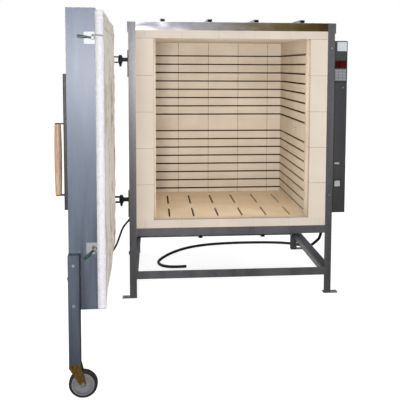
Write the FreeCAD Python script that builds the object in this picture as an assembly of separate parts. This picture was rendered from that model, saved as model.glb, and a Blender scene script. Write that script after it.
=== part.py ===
import FreeCAD, Part
import math
import os

# Front-loading kiln with its door swung open: a firebrick chamber in a welded angle frame,
# a side-hung door that rolls on a caster leg, two pull clamps and a side control box.
# Millimetres. +Z up, the chamber opens towards -Y, the control box is on the +X side.
# The origin is on the floor, at the centre of the four foot anchor holes.

V = FreeCAD.Vector
X_AXIS = V(1, 0, 0)
Y_AXIS = V(0, 1, 0)
Z_AXIS = V(0, 0, 1)
SIDES = (-1, 1)

# Firebrick straights and the chamber they line
brick_length = 228.6
brick_width = 114.3
brick_height = 63.5
chamber_width = 965.2
chamber_depth = 914.4
courses = 18
opening_step = 12.7
joint_width = 1.6
joint_depth = 2.0

# Insulation behind the brick
side_board = 46.0
back_board = 25.4
floor_board = 31.0
roof_blanket = 30.0

# Angle iron frame and its sheets
casing_sheet = 1.5
pan_sheet = 2.5
post_leg = 45.0
frame_wall = 5.0
rail_leg = 50.8
rail_underside = 400.0
stretcher_underside = 123.2
foot_tab = 47.0
foot_thick = 6.0
anchor_radius = 7.0
anchor_outboard = 25.0
bar_pitch = 400.0
bar_width = 25.0
bar_height = 19.0
bar_wall = 3.0

# Roof trim
band_height = 50.8
band_sheet = 2.0
band_return = 40.0
cap_outboard = 6.6
cap_leg = 51.0
cap_height = 63.5
rib_count = 4
rib_pitch = 292.0
rib_width = 30.0
rib_height = 17.5
rib_wall = 3.0

# Element grooves, slots and rods
groove_height = 12.7
groove_depth = 15.0
groove_start = 30.0
plain_course = 8
element_radius = 4.0
element_clearance = 0.3
element_bend = 6.0
tail_inset = 46.0
tail_bore = 5.5
tail_end = 22.0
slot_columns = 6
slot_pitch = 158.0
slot_width = 12.7
slot_front_start = 36.5
slot_front_length = 290.0
slot_back_start = 456.5
slot_back_length = 350.0

# Thermocouple through the control box wall
probe_radius = 6.0
probe_clearance = 0.3
probe_reach = 25.0
probe_back = 300.0
probe_head_radius = 16.0
probe_head_length = 24.0

# Door
door_swing = 89.0
pin_outboard = 49.6
pin_back = 30.0
door_hinge_gap = 49.0
door_edge_inset = 41.4
door_below_rail = 10.0
door_top_drop = 21.5
door_depth = 125.0
door_sheet = 2.0
door_frame_width = 50.0
door_skin_recess = 5.0
seal_gap = 1.5
fibre_thick = 38.5
fibre_inset = 8.0
fibre_top_drop = 18.0
rim_width = 60.0
fold_count = 9
fold_height = 7.0
fold_below_rim = 1.0

# Hinges
hinge_from_bottom = 242.0
hinge_from_top = 212.0
pin_radius = 7.0
pin_clearance = 0.08
knuckle_radius = 14.0
knuckle_height = 25.0
hinge_gap = 0.3
hinge_plate_thick = 6.0
hinge_plate_below = 107.0
hinge_plate_above = 59.0
hinge_bar_width = 16.0
strap_thick = 8.0
strap_root = 105.0
strap_elbow = 12.0
leaf_thick = 6.0
leaf_height = 90.0
bolt_flats = 19.0
bolt_head = 8.0
nut_height = 10.0
thread_tail = 12.0

# Door handle
bar_from_edge = 15.0
handle_bar_width = 30.0
handle_bar_depth = 16.0
handle_bar_from_bottom = 448.0
handle_bar_length = 599.0
grip_from_edge = 147.0
grip_stand_off = 55.0
grip_radius = 17.0
grip_end_radius = 14.0
grip_from_bottom = 494.0
grip_length = 323.0
grip_strap_thick = 5.0
grip_strap_width = 26.0
grip_foot = 34.0

# Leg and caster
leg_width = 50.8
leg_wall = 3.0
leg_plug = 30.0
leg_overlap = 258.0
caster_headroom = 29.0
wheel_radius = 63.5
wheel_width = 32.0
tyre_width = 30.0
tyre_depth = 13.0
tyre_round = 6.0
hub_radius = 15.0
web_half = 5.0
rim_lip = 6.0
axle_radius = 6.0
axle_clearance = 0.08
axle_head_radius = 10.0
axle_head = 6.0
trail = 34.0
fork_sheet = 4.0
fork_side_gap = 2.5
fork_gap = 0.5
crown_radius = 26.0
crown_height = 14.0
kingpin_radius = 6.0
kingpin_reach = 26.0

# Pull clamps on the free edge, with headed studs on the post
clamp_from_top = 130.0
clamp_from_bottom = 278.0
clamp_inset = 9.0
clamp_plate_width = 47.0
clamp_plate_height = 52.0
clamp_plate_thick = 3.0
clamp_boss_radius = 8.0
clamp_boss_height = 4.3
clamp_pin_radius = 4.0
clamp_clearance = 0.06
clamp_gap = 0.3
clamp_cap = 3.0
lever_thick = 5.0
lever_half_width = 4.5
lever_length = 66.0
grip_start = 28.0
clamp_grip_radius = 6.3
high_lever_lift = 7.0
low_lever_lift = -45.0
hook_offset = 11.0
hook_pin_radius = 3.0
hook_eye_radius = 6.0
hook_rod_radius = 2.8
hook_length = 42.0
hook_nib = 6.0
hook_bend = 4.0
hook_eye_half = 3.2
hook_layer_gap = 0.5
high_hook_lift = 0.0
low_hook_lift = -67.0
keeper_high_drop = 4.0
keeper_low_drop = 18.0
keeper_radius = 4.0
keeper_length = 20.0
keeper_head_radius = 6.0
keeper_head = 4.0

# Control box
box_set_back = 60.0
box_width = 98.4
box_depth = 500.0
box_underside = 520.0
box_height = 1117.0
box_sheet = 1.5
box_lip = 14.0
cover_sheet = 1.6
spacer_radius = 9.0
spacer_inset = 30.0
louvre_rows = 8
louvre_pitch = 24.0
louvre_length = 160.0
louvre_height = 9.0
louvre_proud = 6.0
louvre_wall = 1.2
louvre_set_in = 190.0

# Controller, switch and lamp on the box's front
controller_outboard = 54.6
controller_width = 84.0
controller_drop = 123.0
controller_height = 142.0
controller_proud = 6.0
controller_body = 36.0
controller_round = 3.0
cut_out_margin = 6.0
window_width = 74.0
window_drop = 6.0
window_height = 44.0
window_recess = 1.5
window_thick = 2.5
pad_width = 78.0
pad_rise = 8.0
pad_height = 78.0
pad_recess = 0.8
switch_outboard = 46.6
switch_rise = 192.0
rocker_width = 36.0
rocker_height = 36.0
rocker_side_gap = 0.3
rocker_end_gap = 2.6
rocker_proud = 5.0
rocker_behind = 4.0
rocker_dish = 2.0
rocker_pin_radius = 1.0
rocker_pin_reach = 3.0
rocker_pin_clearance = 0.05
bezel_rim = 5.0
bezel_proud = 3.0
lamp_outboard = 42.6
lamp_rise = 325.0
lamp_width = 32.0
lamp_height = 12.0
lamp_proud = 4.0

# Inside the control box
contactor_width = 45.0
contactor_depth = 75.0
contactor_height = 85.0
contactor_cap = 14.0
contactor_count = 3
contactor_pitch = 120.0
contactor_rise = 660.0
contactor_back = 310.0
terminal_back = 300.0
terminal_rise = 120.0
terminal_length = 110.0
terminal_height = 50.0
terminal_depth = 30.0
terminal_ways = 4
terminal_slot = 16.0

# Mains cord and its gland
mains_diameter = 21.0
mains_outboard = 50.0
mains_back = 370.0
mains_floor_gap = 0.7

# The mains cord's way from its gland: steps in X and Y, then the share of the drop still to go
mains_drop = [(0, 0, 1), (0, 0, 0.826), (0.6, 40, 0.63), (2.6, 110, 0.466), (5.6, 210, 0.372),
              (9.6, 322, 0.263), (14.6, 450, 0.159), (22.6, 570, 0.063), (38.6, 670, 0)]
mains_loop = [(-9.4, 760), (-87.4, 815), (-229.4, 850), (-408.4, 860), (-588.4, 855), (-769.4, 822),
              (-939.4, 735), (-1069.4, 580), (-1146.4, 425), (-1169.4, 330), (-1139.4, 238),
              (-1053.4, 198), (-961.4, 213)]

# Glands
gland_flats = 40.0
gland_nut = 10.0
gland_length = 50.0
gland_wide = 17.0
gland_narrow = 12.5

# Lead that crosses to the door
lead_diameter = 13.0
lead_gland_back = 200.0
lead_gland_rise = 70.0
lead_boss_radius = 13.0
lead_boss = 4.0
lead_gland_length = 20.0
lead_gland_wide = 9.5
lead_gland_narrow = 8.0
lead_box_from_bottom = 50.0
lead_box_height = 44.0
lead_box_out = 34.0
lead_box_width = 40.0
lead_box_round = 6.0
lead_box_from_skin = 25.0
lead_nose = 25.0
lead_straight = 34.0
lead_rise = 81.0

# The lead's slack loop: steps from the end of its gland
lead_loop = [(-55, -28, -90), (-77.5, -60, -150), (-109.5, -96, -188), (-149.5, -134, -198),
             (-183.5, -170, -178)]

# Worked-out places of the frame
half_chamber = chamber_width / 2
half_opening = half_chamber + opening_step
half_brickwork = half_chamber + brick_width
half_board = half_brickwork + side_board
half_casing = half_board + casing_sheet
half_width = half_casing + frame_wall
half_column = half_opening + brick_width
post_gap = half_width - post_leg
frame_depth = brick_height + chamber_depth + brick_width + back_board + casing_sheet + frame_wall
front = -frame_depth / 2
back = frame_depth / 2
behind_post = front + frame_wall
chamber_front = front + brick_height
chamber_back = chamber_front + chamber_depth
brick_back = chamber_back + brick_width
board_back = brick_back + back_board
sheet_back = board_back + casing_sheet

pan_low = rail_underside + frame_wall
pan_top = pan_low + pan_sheet
hearth_low = pan_top + floor_board
hearth_top = hearth_low + brick_height
ceiling = hearth_top + courses * brick_height
roof_top = ceiling + brick_height
blanket_top = roof_top + roof_blanket
frame_top = blanket_top + frame_wall
cover_top = frame_top + casing_sheet
band_low = frame_top - band_height
post_top = frame_top - cap_height

# Worked-out places of the door, as it stands when it is shut
pin_x = -half_width - pin_outboard
pin_y = front + pin_back
hinge_end = pin_x + door_hinge_gap
free_end = half_width - door_edge_inset
fibre_face = front - seal_gap
case_in = fibre_face - fibre_thick
case_out = case_in - door_depth
skin_out = case_out + door_skin_recess
door_underside = rail_underside - door_below_rail
door_top = frame_top - door_top_drop
hinge_low = door_underside + hinge_from_bottom
hinge_high = door_top - hinge_from_top
handle_bar_low = door_underside + handle_bar_from_bottom
handle_bar_high = handle_bar_low + handle_bar_length
grip_low = door_underside + grip_from_bottom
grip_high = grip_low + grip_length
leg_low = 2 * wheel_radius + caster_headroom
leg_high = door_underside + leg_overlap
clamp_high = door_top - clamp_from_top
clamp_low = door_underside + clamp_from_bottom
keeper_high = clamp_high - keeper_high_drop
keeper_low = clamp_low - keeper_low_drop
lead_box_low = door_underside + lead_box_from_bottom
leg_x = free_end + leg_width / 2
leg_y = case_out + leg_width / 2
lever_x = free_end + clamp_plate_thick + clamp_boss_height
hook_x = lever_x + lever_thick / 2 + clamp_grip_radius + hook_layer_gap + hook_rod_radius

# Worked-out places of the control box
box_front = front + box_set_back
box_back = box_front + box_depth
box_outer = half_width + box_width
box_inner = half_width + box_sheet
box_top = box_underside + box_height
controller_high = box_top - controller_drop
controller_low = controller_high - controller_height
window_high = controller_high - window_drop
window_low = window_high - window_height
pad_low = controller_low + pad_rise
pad_high = pad_low + pad_height
switch_z = box_underside + switch_rise
lamp_z = box_underside + lamp_rise
contactor_low = box_underside + contactor_rise
terminal_z = box_underside + terminal_rise
lead_gland_z = rail_underside + lead_gland_rise
tail_y = chamber_front + tail_inset
probe_y = chamber_front + probe_back
probe_z = hearth_top + (plain_course + 0.5) * brick_height

nodes = {}


# Helpers

def block(x0, y0, z0, x1, y1, z1):
    """Box between two corners, given in any order."""
    low = V(min(x0, x1), min(y0, y1), min(z0, z1))
    return Part.makeBox(abs(x1 - x0), abs(y1 - y0), abs(z1 - z0), low)


def rod(start, direction, radius, length):
    return Part.makeCylinder(radius, length, start, direction)


def prism(points, push):
    wire = Part.makePolygon(points + [points[0]])
    return Part.Face(wire).extrude(push)


def join(shapes):
    solid = shapes[0]
    for other in shapes[1:]:
        solid = solid.fuse(other)
    return solid.removeSplitter()


def group(shapes):
    return Part.makeCompound(shapes)


def minus(shape, cutters):
    for cutter in cutters:
        shape = shape.cut(cutter)
    return shape


def upright_edges(shape, height):
    """The vertical edges of a block, for rounding its corners."""
    return [edge for edge in shape.Edges
            if abs(edge.Length - height) < 1e-6 and abs(edge.tangentAt(edge.FirstParameter).z) > 0.99]


def hexagon(centre, across_flats, height):
    corner = across_flats / math.sqrt(3)
    points = []
    for step in range(6):
        turn = math.radians(60 * step)
        points.append(centre + V(corner * math.cos(turn), corner * math.sin(turn), 0))
    return prism(points, V(0, 0, height))


def tube(points, radius, fixed_bend=None):
    """Round bar or cord along straight runs joined by tangent arcs, with its length and bends."""
    edges = []
    bends = []
    last = points[0]
    for before, corner, after in zip(points, points[1:], points[2:]):
        run_in = corner - before
        run_out = after - corner
        half_turn = run_in.getAngle(run_out) / 2
        shorter = min(run_in.Length, run_out.Length)
        bend = fixed_bend or 0.45 * shorter / math.tan(half_turn)
        cut = bend * math.tan(half_turn)
        start = corner - run_in.normalize() * cut
        end = corner + run_out.normalize() * cut
        inward = ((start + end) * 0.5 - corner).normalize()
        middle = corner + inward * (bend / math.cos(half_turn) - bend)
        edges.append(Part.LineSegment(last, start).toShape())
        edges.append(Part.Arc(start, middle, end).toShape())
        bends.append(bend)
        last = end
    edges.append(Part.LineSegment(last, points[-1]).toShape())
    path = Part.Wire(edges)
    ring = Part.Wire(Part.makeCircle(radius, points[0], points[1] - points[0]))
    return path.makePipeShell([ring], True, False), path.Length, bends


def opened(shape):
    """Swings a door piece, modelled shut, to the open rest position."""
    turned = shape.copy()
    turned.rotate(V(pin_x, pin_y, 0), Z_AXIS, -door_swing)
    return turned


# Frame

def corner_angle(side, end, outer_x, flange, wall_x, wall_y, low, high):
    """Upright angle at one corner of the frame: flange across the face, flange down the side."""
    corner_y = front if end < 0 else back
    across = block(side * outer_x, corner_y, low, side * post_gap, corner_y - end * wall_y, high)
    along = block(side * outer_x, corner_y, low, side * (outer_x - wall_x),
                  corner_y - end * flange, high)
    return join([across, along])


def corners():
    return [(side, end) for side in SIDES for end in SIDES]


def corner_posts():
    return group([corner_angle(side, end, half_width, post_leg, frame_wall, frame_wall,
                               foot_thick, post_top) for side, end in corners()])


def corner_caps():
    outer = half_width + cap_outboard
    return group([corner_angle(side, end, outer, cap_leg, frame_wall + cap_outboard, frame_wall,
                               post_top, frame_top) for side, end in corners()])


def foot_plates():
    plates = []
    for side, end in corners():
        edge_y = front if end < 0 else back
        plate = block(side * post_gap, edge_y, 0, side * (half_width + foot_tab),
                      edge_y - end * post_leg, foot_thick)
        centre = V(side * (half_width + anchor_outboard), edge_y - end * post_leg / 2, 0)
        plates.append(plate.cut(rod(centre, Z_AXIS, anchor_radius, foot_thick)))
    return group(plates)


def level_angle_x(edge_y, end, base, rise):
    """Angle iron across the frame; `rise` is +1 for a flange at the bottom, -1 at the top."""
    upright = block(-post_gap, edge_y, base, post_gap, edge_y - end * frame_wall,
                    base + rise * rail_leg)
    level = block(-post_gap, edge_y, base, post_gap, edge_y - end * rail_leg,
                  base + rise * frame_wall)
    return join([upright, level])


def level_angle_y(side, base, rise, upright_trim, level_trim):
    """Angle iron along one side of the frame."""
    upright = block(side * half_width, front + upright_trim, base,
                    side * half_casing, back - upright_trim, base + rise * rail_leg)
    level = block(side * half_width, front + level_trim, base,
                  side * (half_width - rail_leg), back - level_trim, base + rise * frame_wall)
    return join([upright, level])


def rail_ring(base):
    ring = [level_angle_x(front, -1, base, 1), level_angle_x(back, 1, base, 1)]
    for side in SIDES:
        ring.append(level_angle_y(side, base, 1, post_leg, rail_leg))
    return group(ring)


def top_rails():
    rails = [level_angle_x(back, 1, frame_top, -1)]
    for side in SIDES:
        rails.append(level_angle_y(side, frame_top, -1, cap_leg, cap_leg))
    return group(rails)


def channel(centre, width, base, height, wall, opens_up):
    """Pressed channel that runs from front to back, closed on one side."""
    half = width / 2
    outer = block(centre - half, front, base, centre + half, back, base + height)
    lift = wall if opens_up else 0
    hollow = block(centre - half + wall, front, base + lift,
                   centre + half - wall, back, base + height - wall + lift)
    return outer.cut(hollow)


def floor_bars():
    base = rail_underside - bar_height
    return group([channel(side * bar_pitch / 2, bar_width, base, bar_height, bar_wall, True)
                  for side in SIDES])


def roof_ribs():
    ribs = []
    for index in range(rib_count):
        centre = (index - (rib_count - 1) / 2) * rib_pitch
        ribs.append(channel(centre, rib_width, cover_top, rib_height, rib_wall, False))
    return group(ribs)


def front_band():
    upright = block(-post_gap, front, band_low, post_gap, front + band_sheet, frame_top)
    level = block(-post_gap, front, frame_top - band_sheet, post_gap, front + band_return, frame_top)
    return join([upright, level])


# Casing and insulation

def wall_holes():
    """Holes through the right wall for the element tails and the thermocouple."""
    length = box_inner - half_chamber
    holes = [rod(V(half_chamber, tail_y, tail_level), X_AXIS, tail_bore, length)
             for tail_level in tail_levels()]
    holes.append(rod(V(half_chamber, probe_y, probe_z), X_AXIS, probe_radius + probe_clearance,
                     length))
    return holes


def casing_panels():
    panels = [block(-half_board, board_back, pan_top, half_board, sheet_back, blanket_top)]
    for side in SIDES:
        sheet = block(side * half_board, behind_post, pan_top, side * half_casing, sheet_back,
                      blanket_top)
        if side > 0:
            sheet = minus(sheet, wall_holes())
        panels.append(sheet)
    return group(panels)


def insulation():
    boards = [
        block(-half_board, behind_post, pan_top, half_board, board_back, hearth_low),
        block(-half_board, behind_post, roof_top, half_board, board_back, blanket_top),
        block(-half_brickwork, brick_back, hearth_low, half_brickwork, board_back, roof_top),
    ]
    for side in SIDES:
        beside_column = block(side * half_column, behind_post, hearth_low,
                              side * half_board, chamber_front, roof_top)
        beside_wall = block(side * half_brickwork, chamber_front, hearth_low,
                            side * half_board, board_back, roof_top)
        board = join([beside_column, beside_wall])
        if side > 0:
            board = minus(board, wall_holes())
        boards.append(board)
    return group(boards)


# Brickwork

def groove_levels():
    """Middle of each groove: one to a course, but none where the thermocouple sits."""
    levels = []
    for course in range(courses - 1):
        if course != plain_course:
            levels.append(hearth_top + (course + 0.5) * brick_height)
    return levels


def element_pairs():
    levels = groove_levels()
    return list(zip(levels[0::2], levels[1::2]))


def tail_levels():
    """The element lies on the groove's floor, so its tails leave a little below the middle."""
    drop = groove_height / 2 - element_clearance - element_radius
    return [level - drop for level in groove_levels()]


def side_wall(side):
    wall = block(side * half_chamber, chamber_front, hearth_top, side * half_brickwork,
                 chamber_back, ceiling)
    groove_bottom = side * (half_chamber + groove_depth)
    cuts = []
    for level in groove_levels():
        cuts.append(block(side * half_chamber, chamber_front + groove_start,
                          level - groove_height / 2, groove_bottom, chamber_back,
                          level + groove_height / 2))
    if side < 0:
        for low, high in element_pairs():
            cuts.append(block(side * half_chamber, chamber_front + groove_start, low, groove_bottom,
                              chamber_front + groove_start + groove_height, high))
    else:
        cuts += wall_holes()
    return minus(wall, cuts)


def back_wall():
    wall = block(-half_brickwork, chamber_back, hearth_top, half_brickwork, brick_back, ceiling)
    reach = half_chamber + groove_depth
    cuts = [block(-reach, chamber_back, level - groove_height / 2, reach,
                  chamber_back + groove_depth, level + groove_height / 2)
            for level in groove_levels()]
    return minus(wall, cuts)


def slot_runs():
    """Left edge, start and length of each slot in the hearth."""
    runs = []
    for start, length in ((slot_front_start, slot_front_length), (slot_back_start, slot_back_length)):
        for column in range(slot_columns):
            x = (column - (slot_columns - 1) / 2) * slot_pitch
            runs.append((x, chamber_front + start, length))
    return runs


def hearth():
    slab = block(-half_brickwork, chamber_front, hearth_low, half_brickwork, brick_back, hearth_top)
    cuts = [block(x - slot_width / 2, y, hearth_top - groove_depth, x + slot_width / 2, y + length,
                  hearth_top) for x, y, length in slot_runs()]
    return minus(slab, cuts)


def face_brick(low, high, step_z, step_y, step_back):
    """Full-width course at the front, rebated behind the frame where it meets it."""
    course = block(-post_gap, front, low, post_gap, chamber_front, high)
    behind = block(-post_gap, front + step_y, step_z, post_gap, chamber_front, step_back)
    cuts = []
    reach = int(post_gap // brick_length) + 1
    for index in range(-reach, reach):
        x = (index + 0.5) * brick_length
        cuts.append(block(x - joint_width / 2, front, low, x + joint_width / 2,
                          front + joint_depth, high))
    return minus(join([course, behind]), cuts)


def front_columns():
    columns = []
    for side in SIDES:
        face = block(side * half_opening, front, hearth_top, side * post_gap, chamber_front, ceiling)
        behind = block(side * post_gap, behind_post, hearth_top, side * half_column, chamber_front,
                       ceiling)
        cuts = []
        for index in range(1, int((ceiling - hearth_top) / brick_length + 0.5)):
            z = hearth_top + index * brick_length
            cuts.append(block(side * half_opening, front, z - joint_width / 2, side * post_gap,
                              front + joint_depth, z + joint_width / 2))
            cuts.append(block(side * half_opening, front, z - joint_width / 2,
                              side * (half_opening + joint_depth), chamber_front,
                              z + joint_width / 2))
        columns.append(minus(join([face, behind]), cuts))
    return group(columns)


# Heating elements and thermocouple

def hairpin(low, high):
    """One element: round the chamber in one groove, up, and back in the next groove."""
    run_x = half_chamber + groove_depth - element_clearance - element_radius
    run_y = chamber_back + groove_depth - element_clearance - element_radius
    link_y = chamber_front + groove_start + element_clearance + element_radius
    tail_x = half_width + tail_end
    points = [
        V(tail_x, tail_y, low), V(run_x, tail_y, low), V(run_x, run_y, low), V(-run_x, run_y, low),
        V(-run_x, link_y, low), V(-run_x, link_y, high),
        V(-run_x, run_y, high), V(run_x, run_y, high), V(run_x, tail_y, high), V(tail_x, tail_y, high),
    ]
    return tube(points, element_radius, element_bend)[0]


def wall_elements():
    levels = tail_levels()
    return group([hairpin(low, high) for low, high in zip(levels[0::2], levels[1::2])])


def hearth_elements():
    z = hearth_top - groove_depth + element_clearance + element_radius
    return group([rod(V(x, y + element_clearance, z), Y_AXIS, element_radius,
                      length - 2 * element_clearance) for x, y, length in slot_runs()])


def thermocouple():
    start = V(half_chamber - probe_reach, probe_y, probe_z)
    length = box_inner - start.x
    sheath = rod(start, X_AXIS, probe_radius, length)
    tip = Part.makeSphere(probe_radius, start)
    head = rod(start + V(length, 0, 0), X_AXIS, probe_head_radius, probe_head_length)
    return join([sheath, tip, head])


# Door, modelled shut

def door_case():
    """Steel tray, open towards the chamber, with its outer skin set back in a flat frame."""
    tray = block(hinge_end, case_out, door_underside, free_end, case_in, door_top)
    hollow = block(hinge_end + door_sheet, skin_out + door_sheet, door_underside + door_sheet,
                   free_end - door_sheet, case_in, door_top - door_sheet)
    recess = block(hinge_end + door_frame_width, case_out, door_underside + door_frame_width,
                   free_end - door_frame_width, skin_out, door_top - door_frame_width)
    return minus(tray, [hollow, recess])


def door_insulation():
    return block(hinge_end + door_sheet, skin_out + door_sheet, door_underside + door_sheet,
                 free_end - door_sheet, case_in, door_top - door_sheet)


def fibre_outline(margin):
    """Left, right, low and high edges of the fibre on the inside of the door."""
    return (hinge_end + fibre_inset + margin, free_end - fibre_inset - margin,
            door_underside + margin, door_top - fibre_top_drop - margin)


def door_gasket():
    x0, x1, z0, z1 = fibre_outline(0)
    a0, a1, c0, c1 = fibre_outline(rim_width)
    return block(x0, case_in, z0, x1, fibre_face, z1).cut(block(a0, case_in, c0, a1, fibre_face, c1))


def door_lining():
    """Folded fibre blanket: a row of soft upright folds inside the rim."""
    x0, x1, z0, z1 = fibre_outline(rim_width)
    pitch = (x1 - x0) / fold_count
    crest = fibre_face - fold_below_rim
    valley = crest - fold_height
    edges = []
    for fold in range(fold_count):
        start = x0 + fold * pitch
        edges.append(Part.Arc(V(start, valley, z0), V(start + pitch / 2, crest, z0),
                              V(start + pitch, valley, z0)).toShape())
    for start, end in (((x1, valley), (x1, case_in)), ((x1, case_in), (x0, case_in)),
                       ((x0, case_in), (x0, valley))):
        edges.append(Part.LineSegment(V(*start, z0), V(*end, z0)).toShape())
    return Part.Face(Part.Wire(edges)).extrude(V(0, 0, z1 - z0))


# Hinges

def hinge_bracket(level):
    """Frame half of a hinge: plate on the post, bar and bored eye."""
    low = level - knuckle_height / 2
    plate_out = -half_width - hinge_plate_thick
    plate = block(-half_width, front, level - hinge_plate_below, plate_out, front + post_leg,
                  level + hinge_plate_above)
    bar = block(pin_x, pin_y - hinge_bar_width / 2, low, plate_out, pin_y + hinge_bar_width / 2,
                low + knuckle_height)
    eye = rod(V(pin_x, pin_y, low), Z_AXIS, knuckle_radius, knuckle_height)
    bore = rod(V(pin_x, pin_y, low), Z_AXIS, pin_radius + pin_clearance, knuckle_height)
    return join([plate, bar, eye]).cut(bore)


def hinge_strap(level):
    """Door half of a hinge: a leaf on the door's end with one strap above the eye, one below."""
    leaf_x = hinge_end - leaf_thick
    root_near = case_in - strap_elbow / 2
    root_far = case_in - strap_root
    leaf = block(leaf_x, root_near, level - leaf_height / 2, hinge_end, root_far,
                 level + leaf_height / 2)
    strap_low = knuckle_height / 2 + hinge_gap
    pieces = [leaf]
    for base in (level + strap_low, level - strap_low - strap_thick):
        plate = prism([
            V(pin_x - knuckle_radius, pin_y, base),
            V(pin_x + knuckle_radius, pin_y, base),
            V(pin_x + knuckle_radius, front - strap_elbow, base),
            V(leaf_x, root_near, base),
            V(leaf_x, root_far, base),
            V(pin_x - knuckle_radius, root_far + 2 * knuckle_radius, base),
        ], V(0, 0, strap_thick))
        nose = rod(V(pin_x, pin_y, base), Z_AXIS, knuckle_radius, strap_thick)
        pieces += [plate, nose]
    bore_low = level - strap_low - strap_thick
    bore = rod(V(pin_x, pin_y, bore_low), Z_AXIS, pin_radius + pin_clearance,
               2 * (strap_low + strap_thick))
    return join(pieces).cut(bore)


def hinge_pin(level):
    """Bolt through straps and eye: head above, nut and thread below."""
    reach = knuckle_height / 2 + hinge_gap + strap_thick
    head = hexagon(V(pin_x, pin_y, level + reach), bolt_flats, bolt_head)
    nut = hexagon(V(pin_x, pin_y, level - reach - nut_height), bolt_flats, nut_height)
    tail = level - reach - nut_height - thread_tail
    shank = rod(V(pin_x, pin_y, tail), Z_AXIS, pin_radius, level + reach - tail)
    return join([shank, head, nut])


def both_hinges(make):
    return group([make(hinge_high), make(hinge_low)])


# Handle

def handle_bar():
    x1 = free_end - bar_from_edge
    bar = block(x1 - handle_bar_width, case_out, handle_bar_low, x1, case_out - handle_bar_depth,
                handle_bar_high)
    return bar.makeFillet(handle_bar_depth / 4, upright_edges(bar, handle_bar_high - handle_bar_low))


def grip_axis(z):
    return V(free_end - grip_from_edge, case_out - grip_stand_off, z)


def handle_grip():
    """Turned wooden grip, fuller in the middle than at its ends."""
    low = grip_axis(grip_low)
    high = grip_axis(grip_high)
    middle = grip_axis((grip_low + grip_high) / 2)
    swell = Part.Arc(low + V(grip_end_radius, 0, 0), middle + V(grip_radius, 0, 0),
                     high + V(grip_end_radius, 0, 0)).toShape()
    edges = [swell, Part.LineSegment(high + V(grip_end_radius, 0, 0), high).toShape(),
             Part.LineSegment(high, low).toShape(),
             Part.LineSegment(low, low + V(grip_end_radius, 0, 0)).toShape()]
    return Part.Face(Part.Wire(edges)).revolve(low, Z_AXIS, 360)


def handle_straps():
    straps = []
    half = grip_strap_width / 2
    for z, inward in ((grip_low - grip_strap_thick, -1), (grip_high, 1)):
        place = grip_axis(z)
        arm = block(place.x - half, place.y, z, place.x + half, skin_out, z + grip_strap_thick)
        nose = rod(place, Z_AXIS, half, grip_strap_thick)
        foot_low = z if inward > 0 else z + grip_strap_thick - grip_foot
        foot = block(place.x - half, skin_out - grip_strap_thick, foot_low, place.x + half, skin_out,
                     foot_low + grip_foot)
        straps.append(join([arm, nose, foot]))
    return group(straps)


# Leg and caster

def door_leg():
    """Square tube down the free edge, with a bored plug for the caster's kingpin."""
    tube_out = block(free_end, case_out, leg_low, free_end + leg_width, case_out + leg_width, leg_high)
    hollow = block(free_end + leg_wall, case_out + leg_wall, leg_low + leg_plug,
                   free_end + leg_width - leg_wall, case_out + leg_width - leg_wall,
                   leg_high - leg_wall)
    tube_out = tube_out.makeFillet(leg_wall, upright_edges(tube_out, leg_high - leg_low))
    bore = rod(V(leg_x, leg_y, leg_low), Z_AXIS, kingpin_radius + axle_clearance, leg_plug)
    return minus(tube_out, [hollow, bore])


def swivel_place(z):
    """The swivel axis at rest, with the door open."""
    turn = math.radians(-door_swing)
    reach_x = leg_x - pin_x
    reach_y = leg_y - pin_y
    return V(pin_x + reach_x * math.cos(turn) - reach_y * math.sin(turn),
             pin_y + reach_x * math.sin(turn) + reach_y * math.cos(turn), z)


def wheel_place():
    return swivel_place(wheel_radius) + V(trail, 0, 0)


def fork_half():
    return wheel_width / 2 + fork_side_gap


def caster_fork():
    """Pressed fork: a round crown with two cheeks that narrow down to the axle."""
    top = leg_low - fork_gap
    axis = swivel_place(0)
    wheel = wheel_place()
    crown = rod(swivel_place(top - crown_height), Z_AXIS, crown_radius, crown_height)
    kingpin = rod(swivel_place(top), Z_AXIS, kingpin_radius, kingpin_reach)
    pieces = [crown, kingpin]
    cheek_low = wheel_radius
    nose = 2 * axle_radius
    for side in SIDES:
        inner_y = axis.y + side * fork_half()
        cheek = prism([
            V(axis.x - crown_radius, inner_y, top), V(axis.x + crown_radius, inner_y, top),
            V(wheel.x + nose, inner_y, cheek_low + nose), V(wheel.x + nose, inner_y, cheek_low),
            V(wheel.x - nose, inner_y, cheek_low),
            V(axis.x - crown_radius, inner_y, top - crown_height),
        ], V(0, side * fork_sheet, 0))
        pieces.append(cheek)
        pieces.append(rod(V(wheel.x, inner_y, wheel_radius), V(0, side, 0), nose, fork_sheet))
    bridge = block(axis.x - crown_radius, axis.y - fork_half() - fork_sheet, top - fork_sheet,
                   axis.x + crown_radius, axis.y + fork_half() + fork_sheet, top)
    pieces.append(bridge)
    hole = rod(V(wheel.x, wheel.y - fork_half() - fork_sheet, wheel.z), Y_AXIS,
               axle_radius + axle_clearance, 2 * (fork_half() + fork_sheet))
    return join(pieces).cut(hole)


def caster_axle():
    reach = fork_half() + fork_sheet
    start = wheel_place() - V(0, reach, 0)
    shank = rod(start, Y_AXIS, axle_radius, 2 * reach)
    head = rod(start, V(0, -1, 0), axle_head_radius, axle_head)
    nut = rod(start + V(0, 2 * reach, 0), Y_AXIS, axle_head_radius, axle_head)
    return join([shank, head, nut])


def spun_wheel(profile):
    """Turns a profile of (radius, offset along the axle) round the axle."""
    hub = wheel_place()
    points = [V(hub.x, hub.y + offset, hub.z + radius) for radius, offset in profile]
    wire = Part.makePolygon(points + [points[0]])
    return Part.Face(wire).revolve(hub, Y_AXIS, 360)


def mirrored(profile):
    """Completes a half profile, given from the middle plane outwards, on the other side."""
    return profile + [(radius, -offset) for radius, offset in reversed(profile)]


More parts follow.
